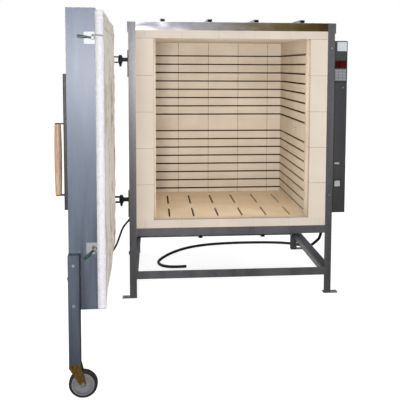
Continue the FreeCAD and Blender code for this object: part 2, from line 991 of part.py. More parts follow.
def caster_wheel():
    seat = wheel_radius - tyre_depth
    return spun_wheel(mirrored([
        (seat, tyre_width / 2), (seat - rim_lip, tyre_width / 2), (seat - rim_lip, web_half),
        (hub_radius, web_half), (hub_radius, wheel_width / 2),
        (axle_radius + axle_clearance, wheel_width / 2),
    ]))


def caster_tyre():
    seat = wheel_radius - tyre_depth
    return spun_wheel(mirrored([
        (wheel_radius, tyre_width / 2 - tyre_round), (wheel_radius - tyre_round, tyre_width / 2),
        (seat, tyre_width / 2),
    ]))


# Pull clamps

def clamp_pivot(level):
    return V(free_end, case_in - clamp_inset, level)


def clamp_base(level):
    """Plate on the door's edge, with the boss and headed pin that the lever turns on."""
    pivot = clamp_pivot(level)
    plate = block(free_end, case_in, level - clamp_plate_height / 2, free_end + clamp_plate_thick,
                  case_in - clamp_plate_width, level + clamp_plate_height / 2)
    boss = rod(pivot, X_AXIS, clamp_boss_radius, clamp_plate_thick + clamp_boss_height - clamp_gap)
    cap_x = lever_x + lever_thick + clamp_gap
    pin = rod(pivot, X_AXIS, clamp_pin_radius, cap_x + clamp_cap - free_end)
    cap = rod(V(cap_x, pivot.y, level), X_AXIS, clamp_pin_radius + clamp_cap / 2, clamp_cap)
    return join([plate, boss, pin, cap])


def hook_pivot(level):
    return V(lever_x + lever_thick, case_in - clamp_inset, level + hook_offset)


def clamp_lever(level):
    """Flat lever with its eye on the pin and a raised stud for the hook."""
    pivot = clamp_pivot(level)
    start = V(lever_x, pivot.y, level)
    eye = rod(start, X_AXIS, clamp_boss_radius, lever_thick)
    arm = block(lever_x, pivot.y, level - lever_half_width, lever_x + lever_thick,
                pivot.y - lever_length + clamp_grip_radius, level + lever_half_width)
    ear = rod(start + V(0, 0, hook_offset), X_AXIS, hook_eye_radius, lever_thick)
    stud_base = hook_pivot(level)
    eye_low = hook_x - hook_eye_half
    eye_high = hook_x + hook_eye_half
    shoulder = rod(stud_base, X_AXIS, hook_eye_radius - 1, eye_low - clamp_gap - stud_base.x)
    stud = rod(stud_base, X_AXIS, hook_pin_radius, eye_high + clamp_gap + clamp_cap - stud_base.x)
    cap = rod(V(eye_high + clamp_gap, stud_base.y, stud_base.z), X_AXIS,
              hook_pin_radius + clamp_cap / 2, clamp_cap / 2)
    bore = rod(start, X_AXIS, clamp_pin_radius + clamp_clearance, lever_thick)
    return join([eye, arm, ear, shoulder, stud, cap]).cut(bore)


def clamp_grip(level):
    """Round plastic sleeve pushed over the lever's arm."""
    pivot = clamp_pivot(level)
    sleeve = rod(V(lever_x + lever_thick / 2, pivot.y - grip_start, level), V(0, -1, 0),
                 clamp_grip_radius, lever_length - grip_start)
    arm = block(lever_x, pivot.y, level - lever_half_width, lever_x + lever_thick,
                pivot.y - lever_length + clamp_grip_radius, level + lever_half_width)
    return sleeve.cut(arm)


def clamp_hook(level):
    """Rod with an eye at one end and a turned-down nib at the other."""
    pivot = hook_pivot(level)
    centre = V(hook_x - hook_eye_half, pivot.y, pivot.z)
    eye = rod(centre, X_AXIS, hook_eye_radius, 2 * hook_eye_half)
    bend_start = V(hook_x, pivot.y + hook_length - hook_rod_radius - hook_bend, pivot.z)
    shank = rod(V(hook_x, pivot.y, pivot.z), Y_AXIS, hook_rod_radius, bend_start.y - pivot.y)
    section = Part.Face(Part.Wire(Part.makeCircle(hook_rod_radius, bend_start, Y_AXIS)))
    bend = section.revolve(bend_start - V(0, 0, hook_bend), X_AXIS, -90)
    nib = rod(bend_start + V(0, hook_bend, -hook_bend), V(0, 0, -1), hook_rod_radius,
              hook_nib - hook_bend)
    bore = rod(centre, X_AXIS, hook_pin_radius + clamp_clearance, 2 * hook_eye_half)
    return join([eye, shank, bend, nib]).cut(bore)


def lifted(shape, centre, lift):
    """Turns a clamp piece upwards by `lift` degrees, away from level."""
    turned = shape.copy()
    turned.rotate(centre, X_AXIS, -lift)
    return turned


def make_clamp(name, level, lever_lift, hook_lift):
    pivot = clamp_pivot(level)
    hook = lifted(clamp_hook(level), hook_pivot(level), -hook_lift - lever_lift)
    nodes["clamp_lever_" + name] = opened(lifted(clamp_lever(level), pivot, lever_lift))
    nodes["clamp_grip_" + name] = opened(lifted(clamp_grip(level), pivot, lever_lift))
    nodes["clamp_hook_" + name] = opened(lifted(hook, pivot, lever_lift))


def latch_keepers():
    studs = []
    for level in (keeper_high, keeper_low):
        start = V(hook_x, front, level)
        stud = rod(start, V(0, -1, 0), keeper_radius, keeper_length)
        head = rod(start - V(0, keeper_length - keeper_head, 0), V(0, -1, 0), keeper_head_radius,
                   keeper_head)
        studs.append(join([stud, head]))
    return group(studs)


# Control box

def switch_opening(depth_front, depth_back):
    x = half_width + switch_outboard
    return block(x - rocker_width / 2 - rocker_side_gap, depth_front,
                 switch_z - rocker_height / 2 - rocker_end_gap,
                 x + rocker_width / 2 + rocker_side_gap, depth_back,
                 switch_z + rocker_height / 2 + rocker_end_gap)


def control_box():
    """Folded steel case, open on the outer side, on four spacers against the casing."""
    shell = block(half_width, box_front, box_underside, box_outer, box_back, box_top)
    hollow = block(box_inner, box_front + box_sheet, box_underside + box_sheet,
                   box_outer, box_back - box_sheet, box_top - box_sheet)
    pieces = [shell.cut(hollow)]
    for low, high in ((box_underside, box_underside + box_lip), (box_top - box_lip, box_top)):
        pieces.append(block(box_outer - box_sheet, box_front, low, box_outer, box_back, high))
    for y in (box_front + spacer_inset, box_back - spacer_inset):
        for z in (box_underside + spacer_inset, box_top - spacer_inset):
            pieces.append(rod(V(half_casing, y, z), X_AXIS, spacer_radius, frame_wall))
    x = half_width + controller_outboard
    half = controller_width / 2 - cut_out_margin
    cuts = wall_holes()
    cuts.append(switch_opening(box_front, box_front + box_sheet))
    cuts.append(block(x - half, box_front, controller_low + cut_out_margin, x + half,
                      box_front + box_sheet, controller_high - cut_out_margin))
    return minus(join(pieces), cuts)


def louvre_levels():
    levels = []
    for middle in (box_underside + louvre_set_in, box_top - louvre_set_in):
        for row in range(louvre_rows):
            levels.append(middle + (row - (louvre_rows - 1) / 2) * louvre_pitch)
    return levels


def control_box_cover():
    """Flat side cover with two banks of pressed louvres that open downwards."""
    outer = box_outer + cover_sheet
    cover = block(box_outer, box_front, box_underside, outer, box_back, box_top)
    y = (box_front + box_back - louvre_length) / 2
    hoods = []
    cuts = []
    for z in louvre_levels():
        hoods.append(prism([V(box_outer, y, z), V(outer + louvre_proud, y, z),
                            V(outer, y, z + louvre_height), V(box_outer, y, z + louvre_height)],
                           V(0, louvre_length, 0)))
        cuts.append(prism([V(box_outer, y + louvre_wall, z),
                           V(outer + louvre_proud - louvre_wall, y + louvre_wall, z),
                           V(outer - louvre_wall, y + louvre_wall, z + louvre_height - louvre_wall),
                           V(box_outer, y + louvre_wall, z + louvre_height - louvre_wall)],
                          V(0, louvre_length - 2 * louvre_wall, 0)))
    return minus(join([cover] + hoods), cuts)


def controller():
    """Moulded front with a display window and a membrane pad, and its body inside the box."""
    x = half_width + controller_outboard
    half = controller_width / 2
    face = box_front - controller_proud
    bezel = block(x - half, face, controller_low, x + half, box_front, controller_high)
    front_edges = [edge for edge in bezel.Edges
                   if all(abs(vertex.Y - face) < 1e-6 for vertex in edge.Vertexes)]
    bezel = bezel.makeChamfer(controller_round / 2, front_edges)
    inset = cut_out_margin + box_sheet
    body = block(x - half + inset, box_front, controller_low + inset, x + half - inset,
                 box_front + controller_body, controller_high - inset)
    window = block(x - window_width / 2, face, window_low, x + window_width / 2,
                   face + window_recess + window_thick, window_high)
    pad = block(x - pad_width / 2, face, pad_low, x + pad_width / 2, face + pad_recess, pad_high)
    return minus(join([bezel, body]), [window, pad])


def display_window():
    x = half_width + controller_outboard
    y = box_front - controller_proud + window_recess
    return block(x - window_width / 2, y, window_low, x + window_width / 2, y + window_thick,
                 window_high)


def switch_bezel():
    x = half_width + switch_outboard
    half_x = rocker_width / 2 + bezel_rim
    half_z = rocker_height / 2 + rocker_end_gap + bezel_rim
    plate = block(x - half_x, box_front - bezel_proud, switch_z - half_z, x + half_x, box_front,
                  switch_z + half_z)
    opening = switch_opening(box_front - bezel_proud, box_front)
    return minus(plate, [opening, rocker_pin(rocker_pin_clearance)])


def rocker_pin(clearance):
    """The rocker's pivot, half way through the surround's thickness."""
    reach = rocker_width / 2 + rocker_pin_reach + clearance
    start = V(half_width + switch_outboard - reach, box_front - bezel_proud / 2, switch_z)
    return rod(start, X_AXIS, rocker_pin_radius + clearance, 2 * reach)


def power_rocker():
    """Rocker with a dished face, on a pivot pin that turns in the surround."""
    x = half_width + switch_outboard - rocker_width / 2
    low = switch_z - rocker_height / 2
    high = switch_z + rocker_height / 2
    face = box_front - rocker_proud
    inner = box_front + rocker_behind
    edges = [Part.Arc(V(x, face, low), V(x, face + rocker_dish, switch_z), V(x, face, high)).toShape()]
    for start, end in (((face, high), (inner, high)), ((inner, high), (inner, low)),
                       ((inner, low), (face, low))):
        edges.append(Part.LineSegment(V(x, *start), V(x, *end)).toShape())
    key = Part.Face(Part.Wire(edges)).extrude(V(rocker_width, 0, 0))
    return join([key, rocker_pin(0)])


def pilot_lamp():
    x = half_width + lamp_outboard
    radius = lamp_height / 2
    reach = lamp_width / 2 - radius
    out = V(0, -1, 0)
    lens = block(x - reach, box_front - lamp_proud, lamp_z - radius, x + reach, box_front,
                 lamp_z + radius)
    return join([lens, rod(V(x - reach, box_front, lamp_z), out, radius, lamp_proud),
                 rod(V(x + reach, box_front, lamp_z), out, radius, lamp_proud)])


def contactors():
    made = []
    y = box_front + contactor_back
    for index in range(contactor_count):
        z = contactor_low + index * contactor_pitch
        body = block(box_inner, y - contactor_depth / 2, z - contactor_height / 2,
                     box_inner + contactor_width, y + contactor_depth / 2, z + contactor_height / 2)
        cap = block(box_inner + contactor_width, y - contactor_depth / 4, z - contactor_height / 3,
                    box_inner + contactor_width + contactor_cap, y + contactor_depth / 4,
                    z + contactor_height / 3)
        made.append(join([body, cap]))
    return group(made)


def terminal_block():
    y = box_front + terminal_back
    low = terminal_z - terminal_height / 2
    high = terminal_z + terminal_height / 2
    strip = block(box_inner, y, low, box_inner + terminal_depth, y + terminal_length, high)
    pitch = terminal_length / terminal_ways
    cuts = []
    for way in range(terminal_ways):
        start = y + way * pitch + (pitch - terminal_slot) / 2
        cuts.append(block(box_inner + terminal_depth / 2, start, low, box_inner + terminal_depth,
                          start + terminal_slot, high))
    return minus(strip, cuts)


# Cords and their glands

def mains_exit():
    return V(half_width + mains_outboard, box_front + mains_back, box_underside)


def mains_route():
    """Down from the box, out behind the stand, and round on the floor to the middle."""
    start = mains_exit() - V(0, 0, gland_length)
    floor = mains_diameter / 2 + mains_floor_gap
    drop = start.z - floor
    points = [V(start.x + x, start.y + y, floor + share * drop) for x, y, share in mains_drop]
    return points + [V(start.x + x, start.y + y, floor) for x, y in mains_loop]


def lead_gland_end():
    slope = V(-1, 0, -1).normalize()
    return V(-half_casing - lead_boss, front + lead_gland_back, lead_gland_z) + slope * lead_gland_length


def lead_box_place():
    """Where the lead enters the box on the door's hinge end, with the door open."""
    shut = Part.Vertex(V(hinge_end - lead_box_out / 2,
                         case_out + lead_box_from_skin, lead_box_low - lead_nose))
    return opened(shut).Point


def lead_route():
    """Out of the casing at a slope, down in a slack loop and up into the door's box."""
    start = lead_gland_end()
    end = lead_box_place()
    loop = [start + V(*step) for step in lead_loop]
    return [start, start - V(lead_straight, 0, lead_straight)] + loop + [end - V(0, 0, lead_rise), end]


def cord_glands():
    exit_point = mains_exit()
    nut = hexagon(exit_point - V(0, 0, gland_nut), gland_flats, gland_nut)
    cone = Part.makeCone(gland_narrow, gland_wide, gland_length - gland_nut,
                         exit_point - V(0, 0, gland_length), Z_AXIS)
    boss = rod(V(-half_casing, front + lead_gland_back, lead_gland_z), V(-1, 0, 0),
               lead_boss_radius, lead_boss)
    end = lead_gland_end()
    slope = V(1, 0, 1).normalize()
    spout = Part.makeCone(lead_gland_narrow, lead_gland_wide, lead_gland_length, end, slope)
    ball = Part.makeSphere(lead_gland_wide, end + slope * lead_gland_length)
    inside = block(-half_casing, front, lead_gland_z - 2 * lead_boss_radius, -half_chamber,
                   front + 2 * lead_gland_back, lead_gland_z + 2 * lead_boss_radius)
    return group([join([nut, cone]), join([boss, spout, ball]).cut(inside)])


def door_lead_box():
    """Small junction box on the hinge end of the door, with its entry underneath."""
    y = case_out + lead_box_from_skin
    box = block(hinge_end - lead_box_out, y - lead_box_width / 2, lead_box_low, hinge_end,
                y + lead_box_width / 2, lead_box_low + lead_box_height)
    outer = [edge for edge in upright_edges(box, lead_box_height)
             if edge.Vertexes[0].X < hinge_end - lead_box_out / 2]
    box = box.makeFillet(lead_box_round, outer)
    nose = Part.makeCone(lead_gland_narrow, lead_gland_wide, lead_nose,
                         V(hinge_end - lead_box_out / 2, y, lead_box_low - lead_nose), Z_AXIS)
    return join([box, nose])


def report_cord(name, cord, length, bends, diameter):
    ratio = cord.Volume / (math.pi * diameter ** 2 / 4 * length)
    lowest = cord.optimalBoundingBox().ZMin
    print(f"{name}: {length:.0f} mm, volume ratio {ratio:.4f}, lowest {lowest:.2f}, "
          f"bend radii {[round(bend) for bend in bends]}")


# Assembly

nodes["corner_posts"] = corner_posts()
nodes["foot_plates"] = foot_plates()
nodes["bottom_rails"] = rail_ring(rail_underside)
nodes["stretchers"] = rail_ring(stretcher_underside)
nodes["floor_bars"] = floor_bars()
nodes["floor_pan"] = block(-half_casing, behind_post, pan_low, half_casing, sheet_back, pan_top)
nodes["casing_panels"] = casing_panels()
nodes["roof_cover"] = block(-half_width, front, frame_top, half_width, back, cover_top)
nodes["front_band"] = front_band()
nodes["corner_caps"] = corner_caps()
nodes["top_rails"] = top_rails()
nodes["roof_ribs"] = roof_ribs()

nodes["left_wall"] = side_wall(-1)
nodes["right_wall"] = side_wall(1)
nodes["back_wall"] = back_wall()
nodes["hearth"] = hearth()
nodes["roof_bricks"] = block(-half_brickwork, chamber_front, ceiling, half_brickwork, brick_back,
                             roof_top)
nodes["front_columns"] = front_columns()
nodes["lintel"] = face_brick(ceiling, band_low, band_low, band_sheet, roof_top)
nodes["sill"] = face_brick(rail_underside + rail_leg, hearth_top, hearth_low, frame_wall,
                           hearth_top)
nodes["insulation"] = insulation()
nodes["wall_elements"] = wall_elements()
nodes["hearth_elements"] = hearth_elements()
nodes["thermocouple"] = thermocouple()

nodes["door_case"] = opened(door_case())
nodes["door_insulation"] = opened(door_insulation())
nodes["door_gasket"] = opened(door_gasket())
nodes["door_lining"] = opened(door_lining())
nodes["hinge_brackets"] = both_hinges(hinge_bracket)
nodes["hinge_straps"] = opened(both_hinges(hinge_strap))
nodes["hinge_pins"] = opened(both_hinges(hinge_pin))
nodes["handle_bar"] = opened(handle_bar())
nodes["handle_grip"] = opened(handle_grip())
nodes["handle_straps"] = opened(handle_straps())
nodes["door_leg"] = opened(door_leg())
nodes["caster_fork"] = caster_fork()
nodes["caster_axle"] = caster_axle()
nodes["caster_wheel"] = caster_wheel()
nodes["caster_tyre"] = caster_tyre()
nodes["clamp_bases"] = opened(group([clamp_base(clamp_high), clamp_base(clamp_low)]))
make_clamp("upper", clamp_high, high_lever_lift, high_hook_lift)
make_clamp("lower", clamp_low, low_lever_lift, low_hook_lift)
nodes["latch_keepers"] = latch_keepers()

nodes["control_box"] = control_box()
nodes["control_box_cover"] = control_box_cover()
nodes["controller"] = controller()
nodes["display_window"] = display_window()
nodes["switch_bezel"] = switch_bezel()
nodes["power_rocker"] = power_rocker()
nodes["pilot_lamp"] = pilot_lamp()
nodes["contactors"] = contactors()
nodes["terminal_block"] = terminal_block()

nodes["cord_glands"] = cord_glands()
nodes["door_lead_box"] = opened(door_lead_box())
nodes["mains_cord"], mains_length, mains_bends = tube(mains_route(), mains_diameter / 2)
nodes["door_lead"], lead_length, lead_bends = tube(lead_route(), lead_diameter / 2)
report_cord("mains_cord", nodes["mains_cord"], mains_length, mains_bends, mains_diameter)
report_cord("door_lead", nodes["door_lead"], lead_length, lead_bends, lead_diameter)

os.makedirs("parts", exist_ok=True)
for name, shape in nodes.items():
    shape.exportStep(f"parts/{name}.step")
print(len(nodes), "nodes,", sum(len(shape.Solids) for shape in nodes.values()), "solids")
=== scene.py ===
# %% [markdown]
# # A front-loading kiln, dressed for its portrait
#
# The object is a welded angle-iron stand that carries a box of soft firebrick. Its door hangs open on the
# left, rolls on a caster, and shows the ceramic fibre that seals it. Every hard piece arrives as a packed
# CAD model, already in place. This lesson gives those pieces their real finishes, and remakes in mesh what
# CAD draws too plainly: the fibre, the cords, the keys and the small screws.

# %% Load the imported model
import math

import bmesh
import bpy
from mathutils import Matrix, Vector, noise


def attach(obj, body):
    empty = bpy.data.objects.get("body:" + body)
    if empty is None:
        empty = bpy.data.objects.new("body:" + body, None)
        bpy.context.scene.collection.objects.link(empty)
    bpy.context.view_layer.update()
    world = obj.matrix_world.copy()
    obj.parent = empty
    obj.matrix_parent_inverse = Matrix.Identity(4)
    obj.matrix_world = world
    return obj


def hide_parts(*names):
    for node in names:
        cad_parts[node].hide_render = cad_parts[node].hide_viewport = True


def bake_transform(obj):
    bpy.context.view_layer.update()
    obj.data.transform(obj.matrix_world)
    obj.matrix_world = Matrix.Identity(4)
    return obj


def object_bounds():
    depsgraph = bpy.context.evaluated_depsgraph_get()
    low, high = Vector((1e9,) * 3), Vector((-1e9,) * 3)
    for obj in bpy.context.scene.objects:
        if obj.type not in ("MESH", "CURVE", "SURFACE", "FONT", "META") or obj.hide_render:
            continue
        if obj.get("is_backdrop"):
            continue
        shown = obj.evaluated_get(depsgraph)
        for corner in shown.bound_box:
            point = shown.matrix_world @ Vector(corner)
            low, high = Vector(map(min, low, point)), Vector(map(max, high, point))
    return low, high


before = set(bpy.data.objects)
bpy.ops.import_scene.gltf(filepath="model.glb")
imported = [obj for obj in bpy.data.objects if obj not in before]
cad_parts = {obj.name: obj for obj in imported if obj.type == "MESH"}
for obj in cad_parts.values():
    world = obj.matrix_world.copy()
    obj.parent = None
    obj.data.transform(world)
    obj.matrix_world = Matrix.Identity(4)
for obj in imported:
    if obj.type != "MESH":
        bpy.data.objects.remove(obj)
cad_low, cad_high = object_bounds()
MM = 0.001
print("CAD box in metres:", [round(v, 3) for v in cad_low], [round(v, 3) for v in cad_high])

# %% [markdown]
# ## The camera
#
# The photograph was taken from the left of the kiln, at chest height, looking slightly to the right and
# down. The place, the three angles and the focal length come from fitting eleven known corners of the
# object. The photograph is a crop, so the picture's centre isn't the lens's centre: a small shift says so.

# %% Camera
CAMERA_PLACE = Vector((-0.4954, -4.89515, 1.4744))
YAW, PITCH, ROLL = (math.radians(a) for a in (5.624, 4.880, 0.252))
FOCAL_PIXELS, CENTRE_X, CENTRE_Y, FRAME_PIXELS = 694.16, 221.74, 125.06, 400.0
SENSOR_MM, FAR_ENOUGH = 36.0, 60

ahead = Vector((math.sin(YAW) * math.cos(PITCH), math.cos(YAW) * math.cos(PITCH), -math.sin(PITCH)))
level_right = Vector((math.cos(YAW), -math.sin(YAW), 0))
level_up = level_right.cross(ahead)
right = math.cos(ROLL) * level_right + math.sin(ROLL) * level_up
up = math.cos(ROLL) * level_up - math.sin(ROLL) * level_right

lens = bpy.data.cameras.new("portrait_lens")
lens.sensor_width = SENSOR_MM
lens.lens = FOCAL_PIXELS / FRAME_PIXELS * SENSOR_MM
lens.shift_x = 0.5 - CENTRE_X / FRAME_PIXELS
lens.shift_y = CENTRE_Y / FRAME_PIXELS - 0.5
lens.clip_end = FAR_ENOUGH
camera = bpy.data.objects.new("camera", lens)
turned = Matrix((right, up, -ahead)).transposed().to_4x4()
camera.matrix_world = Matrix.Translation(CAMERA_PLACE) @ turned
bpy.context.scene.collection.objects.link(camera)
bpy.context.scene.camera = camera
print("lens", round(lens.lens, 2), "mm, shift", round(lens.shift_x, 4), round(lens.shift_y, 4))

# %% [markdown]
# ## Two cords
#
# The mains cord is a stiff black rubber cable, 21 mm thick. It leaves a gland under the control box, drops
# behind the right-hand post, and lies on the floor in one wide loop that ends bare, ready for its plug.
# The second lead crosses from the kiln to the door and must bend as the door swings.
#
# A real cable never turns a sharp corner, so each route is a handful of points that a smooth curve of
# degree two rounds off by itself. The points are the same as in the CAD source, in millimetres.

# %% Routes of the cords
FRONT = -562.05
MAINS_THICK, LEAD_THICK = 21.0, 13.0
ON_FLOOR, GLAND_END = MAINS_THICK / 2 + 0.7, 470.0

# Across, from the kiln's front, and the share of the height that is left.
mains_hanging = [(699.4, 430, 1), (699.4, 430, 0.826), (700, 470, 0.63), (702, 540, 0.466), (705, 640, 0.372),
                 (709, 752, 0.263), (714, 880, 0.159), (722, 1000, 0.063), (738, 1100, 0)]
mains_lying = [(690, 1190), (612, 1245), (470, 1280), (291, 1290), (111, 1285), (-70, 1252), (-240, 1165),
               (-370, 1010), (-447, 855), (-470, 760), (-440, 668), (-354, 628), (-262, 643)]
mains_route = ([(x, y, ON_FLOOR + share * (GLAND_END - ON_FLOOR)) for x, y, share in mains_hanging]
               + [(x, y, ON_FLOOR) for x, y in mains_lying])

PIN_X, PIN_Y = -699.0, FRONT + 30.0
DOOR_SWING = math.radians(89)


def hung(along, outward, height):
    """A point given on the shut door, from its hinge pin, as the place where it is with the door open."""
    x = PIN_X + along * math.cos(DOOR_SWING) - outward * math.sin(DOOR_SWING)
    y = PIN_Y - along * math.sin(DOOR_SWING) - outward * math.cos(DOOR_SWING)
    return Vector((x, y, height))


LEAD_LEAVES, LEAD_ENTERS, LEAD_TAIL = (-662.54, 200, 455.86), (32, 170, 415), 81
lead_start, lead_end = Vector(LEAD_LEAVES), hung(*LEAD_ENTERS) - Vector((0, FRONT, 0))
lead_steps = [(0, 0, 0), (-34, 0, -34), (-55, -28, -90), (-77.5, -60, -150), (-109.5, -96, -188),
              (-149.5, -134, -198), (-183.5, -170, -178)]
lead_route = [lead_start + Vector(step) for step in lead_steps]
lead_route += [lead_end - Vector((0, 0, LEAD_TAIL)), lead_end]
print("route points: mains", len(mains_route), "lead", len(lead_route))

# %% [markdown]
# ### From route to line
#
# The points become a NURBS curve of order three that starts and ends on its first and last point. Its own
# line is read back before it has any thickness, and everything that follows the cord uses that line.

# %% The line of a route
def in_metres(route):
    return [Vector((x, FRONT + y, z)) * MM for x, y, z in route]


def route_curve(name, route, resolution):
    """A smooth curve on the route. The order is set after the points, or it would stay straight."""
    curve = bpy.data.curves.new(name, "CURVE")
    curve.dimensions = "3D"
    curve.resolution_u = resolution
    spline = curve.splines.new("NURBS")
    spline.points.add(len(route) - 1)
    for point, place in zip(spline.points, route):
        point.co = (*place, 1)
    spline.order_u = 3
    spline.use_endpoint_u = True
    piece = bpy.data.objects.new(name, curve)
    bpy.context.scene.collection.objects.link(piece)
    return piece


def curve_line(piece):
    """The curve's own line as a list of points, read before it is given any thickness."""
    evaluated = piece.evaluated_get(bpy.context.evaluated_depsgraph_get())
    mesh = bpy.data.meshes.new_from_object(evaluated)
    line = [v.co.copy() for v in mesh.vertices]
    bpy.data.meshes.remove(mesh)
    return line


def line_length(line):
    return sum((b - a).length for a, b in zip(line, line[1:]))


# %% [markdown]
# ### From line to cable
#
# Each cable is a mesh tube that follows the points of its curve: one ring of points for each step along the
# line, turned as little as possible from ring to ring.

# %% Cords
def ring_tube(name, line, radius, sides):
    """A closed tube round a line."""
    mesh = bmesh.new()
    normal = (line[1] - line[0]).orthogonal().normalized()
    rings = []
    for i, place in enumerate(line):
        before, after = line[max(i - 1, 0)], line[min(i + 1, len(line) - 1)]
        along = (after - before).normalized()
        normal = (normal - along * normal.dot(along)).normalized()
        across = along.cross(normal)
        turns = [2 * math.pi * k / sides for k in range(sides)]
        rings.append([mesh.verts.new(place + radius * (math.cos(t) * normal + math.sin(t) * across))
                      for t in turns])
    for ring, following in zip(rings, rings[1:]):
        for k in range(sides):
            after = (k + 1) % sides
            mesh.faces.new((ring[k], ring[after], following[after], following[k]))
    mesh.faces.new(reversed(rings[0]))
    mesh.faces.new(rings[-1])
    return mesh_piece(name, mesh)


def mesh_piece(name, mesh, smooth=True):
    """Turns mesh data under work into an object at the origin."""
    bmesh.ops.recalc_face_normals(mesh, faces=mesh.faces)
    data = bpy.data.meshes.new(name)
    mesh.to_mesh(data)
    mesh.free()
    data.polygons.foreach_set("use_smooth", [smooth] * len(data.polygons))
    piece = bpy.data.objects.new(name, data)
    bpy.context.scene.collection.objects.link(piece)
    return piece


def cable(name, route, thick, resolution, sides):
    path = route_curve(name + "_path", in_metres(route), resolution)
    line = curve_line(path)
    bpy.data.objects.remove(path)
    return ring_tube(name, line, thick / 2 * MM, sides), line


mains, mains_line = cable("mains_cord_cable", mains_route, MAINS_THICK, resolution=14, sides=16)
lead, lead_line = cable("door_lead_cable", lead_route, LEAD_THICK, resolution=10, sides=12)
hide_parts("mains_cord")
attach(mains, "kiln")
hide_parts("door_lead")
print("mains", round(line_length(mains_line), 3), "m, lead", round(line_length(lead_line), 3), "m")

# %% [markdown]
# ## Colours and nodes
#
# Colours are written as the hex values that a picture program shows. Blender's sockets want light that adds
# up linearly, so one function changes them.
#
# A material is a small machine of nodes. One function adds a node with its settings and feeds its sockets in
# one line, so that each finish below reads as a recipe. A whole node, given in place of an output, stands for
# its first output that is in use.

# %% Colours
def tone(code):
    """An sRGB hex colour as the four linear numbers of a colour socket."""
    shares = [int(code[i:i + 2], 16) / 255 for i in (1, 3, 5)]
    return (*(s / 12.92 if s <= 0.04045 else ((s + 0.055) / 1.055) ** 2.4 for s in shares), 1.0)


BLACK, WHITE = tone("#000000"), tone("#FFFFFF")
print("middle grey #808080 is", round(tone("#808080")[0], 3), "in linear light")


# %% Nodes
def feed(tree, node, sockets):
    """Gives each socket a number, a hex colour, or the output that is linked to it."""
    for key, value in sockets.items():
        if isinstance(value, bpy.types.Node):
            value = next(outlet for outlet in value.outputs if outlet.enabled)
        if isinstance(value, bpy.types.NodeSocket):
            tree.links.new(value, node.inputs[key])
        else:
            node.inputs[key].default_value = tone(value) if isinstance(value, str) else value


def add(tree, kind, sockets=None, **settings):
    """Adds a node of a kind, with its settings and what feeds its sockets."""
    node = tree.nodes.new(kind)
    for name, value in settings.items():
        setattr(node, name, value)
    feed(tree, node, sockets or {})
    return node


def finish(name):
    """A new material with its tree, its main shader and the place on the piece, in metres."""
    material = bpy.data.materials.new(name)
    material.use_nodes = True
    tree = material.node_tree
    place = add(tree, "ShaderNodeTexCoord").outputs["Object"]
    return material, tree, tree.nodes["Principled BSDF"], place


# A Mix node has sockets for numbers, vectors and colours under the same names. These are the colour ones.
SHARE, FIRST, SECOND = 0, 6, 7

# %% [markdown]
# ### Grain of a real size
#
# Nearly every finish starts from soft random grey: dust, casting skin, wood lines, cloudy paint. Its scale is
# given as the real size of a blotch, and it can be drawn out along an axis. Most of the grey lies near the
# middle, so a recipe may keep only a part of it and spread that from 0 to 1.

# %% Grain
def grain(tree, place, size_mm, detail=3.0, stretch=(1, 1, 1), roughness=0.55, keep=None):
    """Soft random grey with blotches of a real size, and keep as the part that runs from 0 to 1."""
    scaled = add(tree, "ShaderNodeMapping", {"Vector": place, "Scale": [1 / s for s in stretch]})
    grey = add(tree, "ShaderNodeTexNoise", {"Vector": scaled, "Scale": 1 / (size_mm * MM),
                                            "Detail": detail, "Roughness": roughness})
    if keep is None:
        return grey
    return add(tree, "ShaderNodeMapRange", {"Value": grey, "From Min": keep[0], "From Max": keep[1]})


MIDDLE = (0.3, 0.7)

# %% [markdown]
# ## Hammered paint on the frame
#
# Industrial kilns are brushed or sprayed with grey hammer-finish enamel: silicone in the paint pulls it into
# shallow rings a few millimetres wide. They break the highlight into a soft sparkle, so the steel looks
# neither matt nor mirror-like. Corners that get knocked show brighter metal. Upright streaks of a lighter
# tone are partly the paint's own clouding and partly painted highlight streaks, on the door and its leg most
# of all. A Voronoi pattern gives the rings, drawn at 11 mm rather than 5 so that they show at this distance,
# and a Bevel node finds the corners: it compares the true normal with a rounded one.

# %% Worn corners
def worn_corners(tree, reach_mm):
    """1 on sharp corners, 0 on flats."""
    rounded = add(tree, "ShaderNodeBevel", {"Radius": reach_mm * MM}, samples=4)
    true_normal = add(tree, "ShaderNodeNewGeometry").outputs["Normal"]
    likeness = add(tree, "ShaderNodeVectorMath", {0: rounded, 1: true_normal}, operation="DOT_PRODUCT")
    return add(tree, "ShaderNodeMapRange", {"Value": likeness, "From Min": 0.985, "From Max": 0.86})


# %% Frame paint and door paint
RING_MM, RING_DEEP_MM = 11.0, 0.5
CLOUD_GREYS, UPRIGHT_CLOUD_AND_HIGHLIGHT_STREAKS = (0.35, 0.65), (1, 1, 12)
KNOCK_MM, KNOCK_REACH_MM, KNOCK_GREYS = 14, 2.5, (0.42, 0.6)
CLOUD_ROUGHER, COAT_ROUGH = 0.12, 0.3


